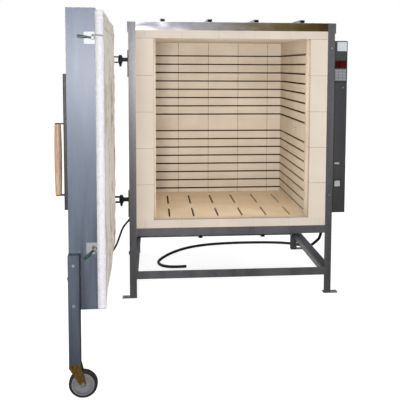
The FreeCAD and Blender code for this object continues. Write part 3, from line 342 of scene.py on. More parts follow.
def hammered(name, dark, light, edge, shine, metallic, coat, ring_depth=0.45, cloud_and_highlight_streak_mm=90):
    material, tree, shader, place = finish(name)
    rings = add(tree, "ShaderNodeTexVoronoi", {"Vector": place, "Scale": 1 / (RING_MM * MM),
                                               "Smoothness": 0.6}, feature="SMOOTH_F1")
    # Upright cloud in the colour: partly the paint's own clouding, partly painted highlight streaks, which on
    # the door and its leg stand for vertical highlights.
    cloud = grain(tree, place, cloud_and_highlight_streak_mm, 4.0, UPRIGHT_CLOUD_AND_HIGHLIGHT_STREAKS, keep=CLOUD_GREYS)
    body = add(tree, "ShaderNodeMix", {SHARE: cloud, FIRST: dark, SECOND: light}, data_type="RGBA")
    ridges = add(tree, "ShaderNodeMapRange", {"Value": rings, "From Min": 0.15, "From Max": 0.5 / ring_depth})
    flecked = add(tree, "ShaderNodeMix", {SHARE: ridges, FIRST: body, SECOND: light}, data_type="RGBA")
    chips = add(tree, "ShaderNodeMath", {0: worn_corners(tree, KNOCK_REACH_MM),
                                         1: grain(tree, place, KNOCK_MM, keep=KNOCK_GREYS)},
                operation="MULTIPLY")
    painted = add(tree, "ShaderNodeMix", {SHARE: chips, FIRST: flecked, SECOND: edge}, data_type="RGBA")
    gloss = add(tree, "ShaderNodeMapRange",
                {"Value": cloud, "To Min": shine, "To Max": shine + CLOUD_ROUGHER})
    skin = add(tree, "ShaderNodeBump",
               {"Height": rings, "Distance": RING_DEEP_MM * MM, "Strength": ring_depth})
    feed(tree, shader, {"Base Color": painted, "Roughness": gloss, "Normal": skin, "Metallic": metallic,
                        "Coat Weight": coat, "Coat Roughness": COAT_ROUGH})
    return material


frame_paint = hammered("hammered_grey_enamel_on_steel", "#525256", "#67676B", "#888682",
                       shine=0.42, metallic=0.7, coat=0.9)
# The lighter upright streaks on the door and the leg are painted highlight streaks.
door_paint = hammered("hammered_blue_grey_enamel_on_sheet", "#434954", "#5A6271", "#7A8291",
                      shine=0.46, metallic=0.65, coat=0.28, ring_depth=0.14, cloud_and_highlight_streak_mm=32)
leg_paint = hammered("hammered_blue_grey_enamel_on_tube", "#404651", "#555C6A", "#7E8695",
                     shine=0.5, metallic=0.65, coat=0.2, ring_depth=0.14, cloud_and_highlight_streak_mm=32)
box_paint = hammered("dark_grey_enamel_on_box", "#303134", "#3E3F42", "#6A696D",
                     shine=0.42, metallic=0.3, coat=0.2)
print("paints:", ", ".join(paint.name for paint in (frame_paint, door_paint, leg_paint, box_paint)))

# %% [markdown]
# ## Firebrick
#
# Insulating firebrick is fired clay full of tiny bubbles. Cut faces are chalky, cream where they stay cool
# and tan where the kiln has fired. It is laid dry or with a paint-thin mortar, so joints are hairlines. The
# Brick texture draws them from the real brick, 228.6 by 63.5 mm. It works in its own X and Y, so a Mapping
# node turns each wall's place into that plane: one finish for each way a wall can face. The photograph shows
# these bricks one above the other, so the rows have no offset. Inside it shows upright joints and no course
# lines between the wires, so those walls draw only the uprights, while each brick keeps its own shade.

# %% Firebrick
BRICK_LONG, BRICK_HIGH, BRICK_THICK = 228.6, 63.5, 114.3
HEARTH_TOP, ROOF_UNDERSIDE = 502.0, 1645.0
NO_COURSES, UNSEEN = 4000.0, 2000.0
BLOTCH_MM, SPECKLE_MM, RIPPLE_MM, RAGGED_MM, PIT_MM = 220, 5.0, 30, 5, 0.6
OWN_SHADE, PALEST_STAIN = 0.35, 0.6
JOINT_STAIN = "#5E4C38"


def firebrick(name, cool, warm, turn, start, rows, joint_mm=1.6, joint_shade=0.5, pores=1.0, courses=True):
    """turn and start bring the wall into the texture's plane, and rows is its brick (length, height)."""
    material, tree, shader, place = finish(name)
    blotch = grain(tree, place, BLOTCH_MM, 4.0, keep=MIDDLE)
    speckle = grain(tree, place, SPECKLE_MM, 4.0)
    clay = add(tree, "ShaderNodeMix", {SHARE: blotch, FIRST: cool, SECOND: warm}, data_type="RGBA")
    grit = add(tree, "ShaderNodeMapRange", {"Value": speckle, "From Min": 0.52, "From Max": 0.8})
    gritty = add(tree, "ShaderNodeMix", {SHARE: grit, FIRST: clay, SECOND: warm}, data_type="RGBA")

    on_wall = add(tree, "ShaderNodeMapping", {"Vector": place, "Location": [v * MM for v in start],
                                              "Rotation": [math.radians(a) for a in turn]})
    ripple = add(tree, "ShaderNodeTexNoise", {"Vector": place, "Scale": 1 / (RIPPLE_MM * MM), "Detail": 3.0})
    ragged = add(tree, "ShaderNodeVectorMath",
                 {0: ripple.outputs["Color"], 1: (RAGGED_MM * MM, RAGGED_MM * MM, 0), 2: on_wall},
                 operation="MULTIPLY_ADD")
    joints = add(tree, "ShaderNodeTexBrick",
                 {"Vector": ragged, "Scale": 1.0, "Mortar Size": joint_mm / 2 * MM, "Mortar Smooth": 0.3,
                  "Brick Width": rows[0] * MM, "Row Height": (rows[1] if courses else NO_COURSES) * MM},
                 offset=0.0, squash=1.0).outputs["Fac"]
    shades = add(tree, "ShaderNodeTexBrick",
                 {"Vector": on_wall, "Scale": 1.0, "Bias": 0.0, "Mortar Size": 0.0, "Color1": BLACK,
                  "Color2": WHITE, "Brick Width": rows[0] * MM, "Row Height": rows[1] * MM},
                 offset=0.0, squash=1.0)
    own_shade = add(tree, "ShaderNodeMath", {0: shades, 1: OWN_SHADE}, operation="MULTIPLY")
    bricks = add(tree, "ShaderNodeMix", {SHARE: own_shade, FIRST: gritty, SECOND: cool}, data_type="RGBA")

    stain = add(tree, "ShaderNodeMapRange",
                {"Value": ripple, "From Min": 0.35, "From Max": 0.65, "To Min": PALEST_STAIN * joint_shade,
                 "To Max": joint_shade})
    seam = add(tree, "ShaderNodeMath", {0: joints, 1: stain}, operation="MULTIPLY")
    wall = add(tree, "ShaderNodeMix", {SHARE: seam, FIRST: bricks, SECOND: JOINT_STAIN}, data_type="RGBA")
    pits = add(tree, "ShaderNodeMath", {0: speckle, 1: joints}, operation="SUBTRACT")
    skin = add(tree, "ShaderNodeBump", {"Height": pits, "Distance": PIT_MM * MM, "Strength": 0.5 * pores})
    feed(tree, shader, {"Base Color": wall, "Roughness": 0.95, "Specular IOR Level": 0.2, "Normal": skin})
    return material


# %% Firebrick on each wall
TO_BACK, TO_SIDE, TO_FLOOR = (-90, 0, 0), (-90, 0, -90), (0, 0, 0)
BACK_JOINT, SIDE_JOINT, FACE_JOINT = 303.0, 498.55, 317.6

brick_upright = firebrick("firebrick_stood_on_end", "#E1D5C7", "#DACDBC", TO_BACK,
                          (UNSEEN, -HEARTH_TOP, 0), (NO_COURSES, BRICK_LONG),
                          joint_mm=3.0, joint_shade=0.65, pores=0.5)
brick_face = firebrick("firebrick_outer_face", "#DED2C6", "#D5C9BB", TO_BACK,
                       (FACE_JOINT, UNSEEN, 0), (BRICK_LONG, NO_COURSES),
                       joint_mm=2.0, joint_shade=0.4, pores=0.5)
brick_back = firebrick("firebrick_fired_back_wall", "#CBC0B1", "#BDB09E", TO_BACK,
                       (BACK_JOINT, -HEARTH_TOP, 0), (BRICK_LONG, BRICK_HIGH),
                       joint_mm=4.0, joint_shade=0.95, courses=False)
brick_side = firebrick("firebrick_fired_side_wall", "#CABEAC", "#BAAC98", TO_SIDE,
                       (SIDE_JOINT, -HEARTH_TOP, 0), (BRICK_LONG, BRICK_HIGH),
                       joint_mm=2.4, joint_shade=0.5, courses=False)
brick_hearth = firebrick("firebrick_fired_hearth", "#E0CEB2", "#D3BC9B", TO_FLOOR,
                         (0, SIDE_JOINT, 0), (BRICK_THICK, BRICK_LONG), joint_shade=0.12)
brick_roof = firebrick("firebrick_roof", "#D2C6B6", "#C5B8A6", TO_FLOOR,
                       (0, SIDE_JOINT, 0), (BRICK_LONG, BRICK_HIGH), joint_shade=0.3)
print("courses in the chamber:", (ROOF_UNDERSIDE - HEARTH_TOP) / BRICK_HIGH)

# %% [markdown]
# ## The plain finishes
#
# Each of these starts from what the real stuff is. Metals keep Blender's own refraction value and get their
# look from colour, roughness and a fine direction of grain.

# %% Metals
def metal(name, dark, light, shine, grain_mm, stretch=(1, 1, 1), depth_mm=0.05, spread=0.12):
    material, tree, shader, place = finish(name)
    streak = grain(tree, place, grain_mm, 4.0, stretch)
    share = add(tree, "ShaderNodeMapRange", {"Value": streak, "From Min": MIDDLE[0], "From Max": MIDDLE[1]})
    tint = add(tree, "ShaderNodeMix", {SHARE: share, FIRST: dark, SECOND: light}, data_type="RGBA")
    gloss = add(tree, "ShaderNodeMapRange", {"Value": share, "To Min": shine, "To Max": shine + spread})
    skin = add(tree, "ShaderNodeBump", {"Height": streak, "Distance": depth_mm * MM, "Strength": 0.3})
    feed(tree, shader, {"Base Color": tint, "Metallic": 1.0, "Roughness": gloss, "Normal": skin})
    return material


# Cold-rolled stainless: near mirror, with faint waves that break up what it reflects.
stainless = metal("polished_stainless_strip", "#BEBDC0", "#D2D2D6", shine=0.07, grain_mm=34.0,
                  stretch=(3, 1, 1), depth_mm=0.9, spread=0.07)
# Hot-dip zinc freezes in large crystals, so the grey has pale patches.
galvanised = metal("galvanised_sheet", "#9DA1A3", "#B9BDBF", shine=0.38, grain_mm=24.0)
# Clear zinc plate on pressed and turned fittings: bright, slightly cloudy.
zinc = metal("clear_zinc_plated_steel", "#828487", "#A2A4A6", shine=0.46, grain_mm=6.0)
# Yellow passivated zinc on a pressed fork: dull gold, a little cloudy.
yellow_zinc = metal("yellow_passivated_zinc", "#6E5A32", "#9A8048", shine=0.34, grain_mm=9.0)
print("metals:", ", ".join(m.name for m in (stainless, galvanised, zinc, yellow_zinc)))

# %% [markdown]
# ### Black enamel
#
# The hinges, the upright bar and the levers are brushed with black satin enamel. Its corners rub to a dark
# grey, found as on the frame but with a shorter reach, because these pieces are thin.

# %% Black enamel
def painted_steel(name, dark, light, edge, shine):
    material, tree, shader, place = finish(name)
    patch = grain(tree, place, 18.0, 4.0)
    share = add(tree, "ShaderNodeMapRange", {"Value": patch, "From Min": MIDDLE[0], "From Max": MIDDLE[1]})
    base = add(tree, "ShaderNodeMix", {SHARE: share, FIRST: dark, SECOND: light}, data_type="RGBA")
    bare = add(tree, "ShaderNodeMapRange", {"Value": patch, "From Min": 0.4, "From Max": 0.62})
    wear = add(tree, "ShaderNodeMath", {0: worn_corners(tree, 1.5), 1: bare}, operation="MULTIPLY")
    painted = add(tree, "ShaderNodeMix", {SHARE: wear, FIRST: base, SECOND: edge}, data_type="RGBA")
    gloss = add(tree, "ShaderNodeMapRange", {"Value": patch, "To Min": shine, "To Max": shine + 0.15})
    skin = add(tree, "ShaderNodeBump", {"Height": grain(tree, place, 2.5), "Distance": 0.12 * MM,
                                        "Strength": 0.4})
    feed(tree, shader, {"Base Color": painted, "Roughness": gloss, "Normal": skin})
    return material


black_steel = painted_steel("black_satin_enamel_on_steel", "#0A0B0C", "#131415", "#3C3B39", shine=0.42)
print("enamel:", black_steel.name)

# %% [markdown]
# ### Moulded and drawn stuff
#
# Plastics, rubber, board and ceramic are not metallic. What tells them apart is how they were made: a
# spark-eroded mould leaves an even fine grain, dipped vinyl a rounded gloss, pressed board a chalky skin. One
# recipe takes the colour, the roughness and the size and depth of that skin.

# %% Plastics, rubber, board and ceramic
def moulded(name, dark, light, shine, grain_mm=1.2, depth_mm=0.05, specular=0.5):
    material, tree, shader, place = finish(name)
    cloud = grain(tree, place, 40.0, 3.0)
    share = add(tree, "ShaderNodeMapRange", {"Value": cloud, "From Min": MIDDLE[0], "From Max": MIDDLE[1]})
    tint = add(tree, "ShaderNodeMix", {SHARE: share, FIRST: dark, SECOND: light}, data_type="RGBA")
    gloss = add(tree, "ShaderNodeMapRange", {"Value": cloud, "To Min": shine, "To Max": shine + 0.1})
    skin = add(tree, "ShaderNodeBump", {"Height": grain(tree, place, grain_mm), "Distance": depth_mm * MM,
                                        "Strength": 0.5})
    feed(tree, shader, {"Base Color": tint, "Roughness": gloss, "Normal": skin,
                        "Specular IOR Level": specular})
    return material


# Glass-filled nylon and ABS from spark-eroded moulds: an even fine grain.
black_plastic = moulded("black_moulded_nylon", "#17181A", "#232427", shine=0.42)
pale_plastic = moulded("pale_grey_moulded_plastic", "#A9AAA7", "#BDBEBA", shine=0.38)
relay_plastic = moulded("relay_housing_plastic", "#5C5F60", "#6C6F70", shine=0.45)
# Acrylic filter over red digits: dark until lit, with a clear gloss.
red_window = moulded("red_filter_acrylic", "#2A0509", "#5A0C12", shine=0.12, grain_mm=3.0, depth_mm=0.01)
# Dipped vinyl: soft green with a rounded gloss.
green_vinyl = moulded("green_dipped_vinyl", "#17382C", "#20503D", shine=0.28, grain_mm=2.0, depth_mm=0.1)
# Solid rubber tyre with floor dust in its grain, round a cast centre.
tyre_rubber = moulded("solid_rubber_tyre", "#0B0B0A", "#171614", shine=0.7, grain_mm=2.0, depth_mm=0.2)
wheel_grey = moulded("grey_cast_wheel_centre", "#67666A", "#7F7F83", shine=0.42, grain_mm=2.5, depth_mm=0.1)
# Rubber sheath, drawn through a die: satin, with a slight bloom.
cord_rubber = moulded("rubber_cord_sheath", "#0D0D0D", "#181818", shine=0.46, grain_mm=1.5, depth_mm=0.06)
# Resistance wire after firing wears a dull brown oxide with hardly any shine.
element_wire = moulded("oxidised_resistance_wire", "#2E2016", "#4A3626", shine=0.8, grain_mm=3.0,
                       depth_mm=0.1, specular=0.1)
# Calcium silicate board and recrystallised alumina show only where a piece is taken out.
insulating_board = moulded("calcium_silicate_board", "#D8D4C8", "#E2DED2", shine=0.9, grain_mm=4.0,
                           depth_mm=0.3)
alumina = moulded("alumina_sheath", "#A0947E", "#B3A994", shine=0.6)
print("materials so far:", len(bpy.data.materials))

# %% [markdown]
# ### Wood
#
# The grip is beech, turned on a lathe and oiled. Its grain runs along the grip in lines about 3 mm apart,
# darker in places where hands have held it.

# %% Oiled beech
def turned_wood(name):
    material, tree, shader, place = finish(name)
    lines = grain(tree, place, 3.0, 4.0, (1, 1, 26))
    cloud = grain(tree, place, 30.0, 3.0, (1, 1, 5), keep=MIDDLE)
    base = add(tree, "ShaderNodeMix", {SHARE: cloud, FIRST: "#B39478", SECOND: "#C9AC90"}, data_type="RGBA")
    late = add(tree, "ShaderNodeMapRange", {"Value": lines, "From Min": 0.5, "From Max": 0.75})
    tint = add(tree, "ShaderNodeMix", {SHARE: late, FIRST: base, SECOND: "#8E6A4A"}, data_type="RGBA")
    gloss = add(tree, "ShaderNodeMapRange", {"Value": lines, "To Min": 0.42, "To Max": 0.6})
    skin = add(tree, "ShaderNodeBump", {"Height": lines, "Distance": 0.2 * MM, "Strength": 0.5})
    feed(tree, shader, {"Base Color": tint, "Roughness": gloss, "Normal": skin})
    return material


wood = turned_wood("oiled_beech")
print("wood:", wood.name)

# %% [markdown]
# ## Dressing the CAD pieces
#
# A CAD piece keeps its mesh. Only the material in its slots changes, so nothing can drift from its place.

# %% Hand out the finishes
DRESS = {
    frame_paint: ("corner_posts", "foot_plates", "bottom_rails", "stretchers", "floor_bars", "casing_panels",
                  "corner_caps", "top_rails", "roof_ribs"),
    box_paint: ("control_box", "control_box_cover"),
    galvanised: ("floor_pan", "roof_cover"),
    stainless: ("front_band",),
    brick_upright: ("front_columns",),
    brick_face: ("lintel", "sill"),
    brick_back: ("back_wall",),
    brick_side: ("left_wall", "right_wall"),
    brick_hearth: ("hearth",),
    brick_roof: ("roof_bricks",),
    insulating_board: ("insulation", "door_insulation"),
    element_wire: ("wall_elements", "hearth_elements"),
    alumina: ("thermocouple",),
    door_paint: ("door_case",),
    leg_paint: ("door_leg",),
    black_steel: ("hinge_brackets", "hinge_straps", "hinge_pins", "handle_bar", "handle_straps",
                  "clamp_lever_upper", "clamp_lever_lower", "door_lead_box"),
    wood: ("handle_grip",),
    yellow_zinc: ("caster_fork",),
    wheel_grey: ("caster_wheel",),
    tyre_rubber: ("caster_tyre",),
    zinc: ("caster_axle", "clamp_bases", "clamp_hook_upper", "clamp_hook_lower", "latch_keepers"),
    green_vinyl: ("clamp_grip_upper", "clamp_grip_lower"),
    black_plastic: ("controller", "switch_bezel", "cord_glands"),
    red_window: ("display_window",),
    pale_plastic: ("power_rocker", "pilot_lamp", "terminal_block"),
    relay_plastic: ("contactors",),
}
for material, names in DRESS.items():
    for name in names:
        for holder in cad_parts[name].material_slots:
            holder.material = material
for cord in (mains, lead):
    cord.data.materials.append(cord_rubber)
dressed = {name for names in DRESS.values() for name in names}
print(len(dressed), "pieces dressed, still bare:", sorted(set(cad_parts) - dressed))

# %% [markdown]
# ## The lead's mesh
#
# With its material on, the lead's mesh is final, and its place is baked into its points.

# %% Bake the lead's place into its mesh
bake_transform(lead)
print("the lead bends along", len(lead_line), "points")

# %% [markdown]
# ## Ceramic fibre on the door
#
# The door is lined with a blanket of spun alumina and silica, folded like a curtain and held behind. A
# softer roll of the same stuff runs round the edge and is squeezed against the brick when the door shuts.
# New fibre is white. Heat and handling turn the middle tan, and the rim goes ragged.
#
# The folds follow a rule, so both pieces are made by one function from a height over the door's inner face:
# broad upright folds, finer creases and tufts. The sheet is closed at its edges and back, so it is a body
# with thickness and not a card. All sizes are in mm on the shut door, measured from its hinge pin.

# %% Door sizes
DOOR_START, DOOR_WIDE = 49.0, 1258.0
DOOR_LOW, DOOR_TOP = 390.0, 1722.0
FIBRE_INSET, FIBRE_DROP, RIM_WIDE, RIM_OVER = 8.0, 18.0, 60.0, 9.0
FACE_OUT, CASE_OUT = 31.5, 70.0
MOUTH_NEAR, MOUTH_FAR, MOUTH_ROOM, MOUTH_EDGE, MOUTH_EASE = 204.0, 1194.0, 9.0, 8.0, 25.0

fibre_left, fibre_right = DOOR_START + FIBRE_INSET, DOOR_START + DOOR_WIDE - FIBRE_INSET
fibre_low, fibre_high = DOOR_LOW, DOOR_TOP - FIBRE_DROP
print("fibre, wide and high in mm:", fibre_right - fibre_left, fibre_high - fibre_low)

# %% [markdown]
# ### How deep the fibre lies
#
# Random rise and fall comes from one function. Each kind of it has its depth, its width, its height and a
# number that sets it apart from the others, so the same door comes out each time. The folds may stand out
# past the seal only where the shut door faces the chamber's open mouth.

# %% Folds, lumps and tufts
FOLDS, FOLD_DEEP, FOLD_SHARP, FOLD_REST = 9, 11.0, 0.55, 2.0
FOLD_WANDER, FOLD_CREASES = (30, 500, 120, 3.0), (3.0, 16, 230, 7.0)
FOLD_LUMPS, FOLD_TUFTS = (7.0, 190, 55, 11.0), (2.0, 24, 24, 13.0)
FOLD_SHALLOWEST, ROOM_TAKEN = 0.6, 0.6
RIM_WAVES, RIM_TUFTS, RIM_FLUFF = (9.0, 400, 62, 19.0), (1.6, 30, 30, 21.0), (1.4, 9, 9, 23.0)
RIM_REST, RIM_CRUSH, RIM_CRUSH_REACH, RIM_SHALLOWEST = 2.0, 5.0, 300, 0.4
EDGE_TUFT, SIDE_SEED, TOP_SEED = 22, 31.0, 37.0


def swell(along, height, deep, across, high, seed):
    """Random rise and fall of up to about a real depth, in blotches of a real width and height."""
    return deep * noise.noise(Vector((along / across, height / high, seed)))


def bulge_room(along, height):
    """How far the fibre may stand out past the seal."""
    inside = min(along - MOUTH_NEAR, MOUTH_FAR - along, height - HEARTH_TOP, ROOF_UNDERSIDE - height)
    return MOUTH_ROOM * min(1.0, max(0.0, inside - MOUTH_EDGE) / MOUTH_EASE)


def fold_depth(along, height):
    """How far the lining lies behind the seal's face: folds that wander, creases, lumps and tufts."""
    wander = swell(along, height, *FOLD_WANDER)
    phase = (along + wander - fibre_left - RIM_WIDE) / (fibre_right - fibre_left - 2 * RIM_WIDE) * FOLDS
    fold = abs(math.sin(math.pi * phase)) ** FOLD_SHARP
    crease = swell(along, height, *FOLD_CREASES)
    lump = swell(along, height, *FOLD_LUMPS) + swell(along, height, *FOLD_TUFTS)
    room = bulge_room(along, height)
    return max(FOLD_SHALLOWEST - room, FOLD_REST - ROOM_TAKEN * room + FOLD_DEEP * (1 - fold) + crease + lump)


def rim_depth(along, height):
    """The rim is even on the free side and crushed into waves towards the hinges."""
    crushed = min(1.0, max(0.0, (fibre_right - along) / RIM_CRUSH_REACH))
    wave = swell(along, height, *RIM_WAVES)
    return max(RIM_SHALLOWEST, RIM_REST + crushed * (RIM_CRUSH + wave) + swell(along, height, *RIM_TUFTS)
               + swell(along, height, *RIM_FLUFF))


print("depth in the middle of the lining:", round(fold_depth(600, 1000), 2), "mm, of the rim:",
      round(rim_depth(600, 1700), 2), "mm")

# %% [markdown]
# ### Making the sheet
#
# The door's face is cut into a grid. Each cell gives a front face, a back face, and a side wards where it has
# no neighbour, so any set of cells makes a closed body: all of them for the lining, a frame of them for the
# rim. The points on the outer edge are pulled about a little, as torn fibre is.

# %% A closed sheet from a rule
def fibre_sheet(name, columns, rows, depth, keep=lambda along, height: True, ragged=0.0):
    """A closed body between the case and a surface whose depth is a function of its place on the door."""
    mesh = bmesh.new()
    fronts, backs = {}, {}

    def pulled(i, j):
        along, height = columns[i], rows[j]
        on_side, on_end = i in (0, len(columns) - 1), j in (0, len(rows) - 1)
        sideways = swell(height, along, ragged, EDGE_TUFT, EDGE_TUFT, SIDE_SEED) if on_side else 0
        downwards = abs(swell(along, height, ragged, EDGE_TUFT, EDGE_TUFT, TOP_SEED)) if on_end else 0
        return along + sideways * (1 if i == 0 else -1), height - downwards

    def corner(i, j):
        if (i, j) not in fronts:
            along, height = pulled(i, j)
            deep = depth(columns[i], rows[j])
            fronts[i, j] = mesh.verts.new(hung(along, FACE_OUT + deep, height) * MM)
            backs[i, j] = mesh.verts.new(hung(along, CASE_OUT, height) * MM)
        return fronts[i, j], backs[i, j]

    cells = {(i, j) for i in range(len(columns) - 1) for j in range(len(rows) - 1)
             if keep((columns[i] + columns[i + 1]) / 2, (rows[j] + rows[j + 1]) / 2)}
    for i, j in cells:
        corners = [corner(*c) for c in ((i, j), (i + 1, j), (i + 1, j + 1), (i, j + 1))]
        mesh.faces.new([front for front, back in corners])
        mesh.faces.new([back for front, back in reversed(corners)])
        for side, neighbour in enumerate(((i, j - 1), (i + 1, j), (i, j + 1), (i - 1, j))):
            if neighbour not in cells:
                a, b = corners[side], corners[(side + 1) % 4]
                mesh.faces.new((a[0], a[1], b[1], b[0]))
    return mesh_piece(name, mesh)


def steps(low, high, pitch):
    """Even steps from low to high, near a wished pitch."""
    count = max(1, round((high - low) / pitch))
    return [low + (high - low) * k / count for k in range(count + 1)]


# %% The lining and the rim
LINING_PITCH, LINING_RISE, RIM_FINE, RIM_COARSE = 7.0, 14.0, 6.0, 12.0
LINING_GAP, RIM_RAGGED = 0.4, 9.0

inner_left, inner_right = fibre_left + RIM_WIDE, fibre_right - RIM_WIDE
inner_low, inner_high = fibre_low + RIM_WIDE, fibre_high - RIM_WIDE


def on_rim(along, height):
    return not (inner_left < along < inner_right and inner_low < height < inner_high)


def rim_steps(low, inner_start, inner_end, high):
    """Fine steps on both strips of the rim and coarse ones between them."""
    return (steps(low, inner_start, RIM_FINE) + steps(inner_start, inner_end, RIM_COARSE)[1:-1]
            + steps(inner_end, high, RIM_FINE))


lining = fibre_sheet("door_fibre_folds",
                     steps(inner_left + LINING_GAP, inner_right - LINING_GAP, LINING_PITCH),
                     steps(inner_low + LINING_GAP, inner_high - LINING_GAP, LINING_RISE), fold_depth)
rim = fibre_sheet("door_fibre_rim", rim_steps(fibre_left, inner_left, inner_right, fibre_right),
                  rim_steps(fibre_low, inner_low, inner_high, fibre_high + RIM_OVER), rim_depth,
                  keep=on_rim, ragged=RIM_RAGGED)
print("fibre faces:", len(lining.data.polygons), len(rim.data.polygons))

# %% [markdown]
# ### The look of fibre
#
# Fibre scatters light softly and has no gloss at all. Its colour runs in upright tan streaks: partly dust and
# heat marks, partly painted shade that stands for the shadows in the folds. The free edge of the rim is never
# handled, so it stays nearly white.

# %% Fibre finishes
# The tan stands for heat marks and also for painted shade between the folds.
PALE_FIBRE, WORN_FIBRE, TAN_AND_FOLD_SHADE_FIBRE, FRESH_FIBRE = "#FCF8F0", "#F4EDE2", "#B7A27C", "#CAC8CF"
TAN_AND_SHADE_STREAK_MM, PATCH_MM, FLUFF_MM, FLUFF_DEEP_MM = 55, 120, 4.0, 1.2
FRESH_EDGE = (-1.79, -1.74)


def ceramic_fibre(name, fresh_edge=None):
    """fresh_edge is where, along Y in metres, white goes over to the tan streaks and their painted fold
    shade.
    """
    material, tree, shader, place = finish(name)
    patch = grain(tree, place, PATCH_MM, 4.0, (1, 1, 3), keep=MIDDLE)
    # Upright tan streaks: partly heat marks, partly painted shade that stands for the shadows in the folds.
    streak = grain(tree, place, TAN_AND_SHADE_STREAK_MM, 5.0, (1, 1, 7), 0.65, keep=(0.5, 0.66))
    fluff = grain(tree, place, FLUFF_MM, 5.0)
    base = add(tree, "ShaderNodeMix", {SHARE: patch, FIRST: PALE_FIBRE, SECOND: WORN_FIBRE}, data_type="RGBA")
    tan_and_shade_streaked = add(tree, "ShaderNodeMix", {SHARE: streak, FIRST: base, SECOND: TAN_AND_FOLD_SHADE_FIBRE},
                   data_type="RGBA")
    if fresh_edge:
        along = add(tree, "ShaderNodeSeparateXYZ", {"Vector": place}).outputs["Y"]
        handled = add(tree, "ShaderNodeMapRange",
                      {"Value": along, "From Min": fresh_edge[0], "From Max": fresh_edge[1]})
        tan_and_shade_streaked = add(tree, "ShaderNodeMix", {SHARE: handled, FIRST: FRESH_FIBRE, SECOND: tan_and_shade_streaked},
                       data_type="RGBA")
    loose = add(tree, "ShaderNodeMapRange", {"Value": fluff, "From Min": 0.5, "From Max": 0.8})
    tint = add(tree, "ShaderNodeMix", {SHARE: loose, FIRST: tan_and_shade_streaked, SECOND: PALE_FIBRE}, data_type="RGBA")
    skin = add(tree, "ShaderNodeBump", {"Height": fluff, "Distance": FLUFF_DEEP_MM * MM, "Strength": 0.6})
    feed(tree, shader, {"Base Color": tint, "Roughness": 1.0, "Specular IOR Level": 0.05, "Normal": skin})
    return material


fired_fibre = ceramic_fibre("fired_ceramic_fibre_folds")
white_fibre = ceramic_fibre("ceramic_fibre_rim", FRESH_EDGE)
for piece, material, slot, node in ((lining, fired_fibre, "fibre_fired", "door_lining"),
                                    (rim, white_fibre, "fibre", "door_gasket")):
    piece.data.materials.append(material)
    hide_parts(node)
    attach(piece, "door")
print("fibre dressed:", lining.name, rim.name)

# %% [markdown]
# ## Screws, bolts and keys
#
# The side cover is held by pan-head screws, the leg by hexagon bolts, and the keypad has four rows of three
# soft caps. What repeats is made once and set out by Geometry Nodes: a mesh of loose points says where, and
# the tree copies one unit on to each. The result is turned into plain mesh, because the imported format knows
# nothing of modifiers.

# %% The units
def round_head(tree, inlet, sides):
    return add(tree, "GeometryNodeMeshCylinder", {"Vertices": sides, "Radius": inlet.outputs["Across"],
                                                  "Depth": inlet.outputs["High"]})


def key_cap(tree, inlet, sides):
    """A cap that is 0.7 as high as it is wide."""
    lower = add(tree, "ShaderNodeMath", {0: inlet.outputs["Across"], 1: 0.7}, operation="MULTIPLY")
    size = add(tree, "ShaderNodeCombineXYZ", {"X": inlet.outputs["Across"], "Y": lower,
                                              "Z": inlet.outputs["High"]})
    return add(tree, "GeometryNodeMeshCube", {"Size": size})


# %% Set out what repeats
def copies_tree(name, unit, turn, material, sides):
    """A tree that copies one unit to each point, turned so that its top faces the right way."""
    tree = bpy.data.node_groups.new(name, "GeometryNodeTree")
    tree.interface.new_socket("Places", in_out="INPUT", socket_type="NodeSocketGeometry")
    sizes = {key: tree.interface.new_socket(key, in_out="INPUT", socket_type="NodeSocketFloat").identifier
             for key in ("Across", "High")}
    tree.interface.new_socket("Copies", in_out="OUTPUT", socket_type="NodeSocketGeometry")
    inlet = add(tree, "NodeGroupInput")
    turned = add(tree, "GeometryNodeTransform", {"Geometry": unit(tree, inlet, sides),
                                                 "Rotation": [math.radians(a) for a in turn]})
    copies = add(tree, "GeometryNodeInstanceOnPoints",
                 {"Points": inlet.outputs["Places"], "Instance": turned})
    real = add(tree, "GeometryNodeRealizeInstances", {"Geometry": copies})
    painted = add(tree, "GeometryNodeSetMaterial", {"Geometry": real, "Material": material})
    add(tree, "NodeGroupOutput", {0: painted})
    return tree, sizes


def set_out(name, places, unit, turn, across_mm, high_mm, material, body, sides=6):
    """Copies of a unit at places in mm, as one plain mesh that rides on a body."""
    dots = bpy.data.meshes.new(name + "_places")
    dots.from_pydata([Vector(p) * MM for p in places], [], [])
    piece = bpy.data.objects.new(name, dots)
    bpy.context.scene.collection.objects.link(piece)
    maker = piece.modifiers.new(name, "NODES")
    maker.node_group, sizes = copies_tree(name, unit, turn, material, sides)
    maker[sizes["Across"]], maker[sizes["High"]] = across_mm * MM, high_mm * MM
    plain = bpy.data.meshes.new_from_object(piece.evaluated_get(bpy.context.evaluated_depsgraph_get()))
    piece.modifiers.clear()
    piece.data = plain
    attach(piece, body)
    print(name, len(plain.polygons), "faces")
    return piece


# %% Screws and bolts
FACING_FRONT, FACING_RIGHT, FACING_LEFT = (90, 0, 0), (0, 90, 0), (0, -90, 0)
COVER_FACE, BOX_FACE = 749.4, -502.05
COVER_EDGES, COVER_LOWEST, COVER_PITCH, COVER_ROWS = (-488, -16), 545, 267, 5
COVER_INNER, COVER_ENDS = (-331, -173), (533, 1624)
ROUND, HEXAGON, BOLT_RADIUS = 16, 6, 7.5

cover_places = [(COVER_FACE + 1.0, y, COVER_LOWEST + COVER_PITCH * k) for y in COVER_EDGES
                for k in range(COVER_ROWS)]
cover_places += [(COVER_FACE + 1.0, y, z) for y in COVER_INNER for z in COVER_ENDS]
leg_places = [(-845.3, -1894.7, z) for z in (605, 425)]
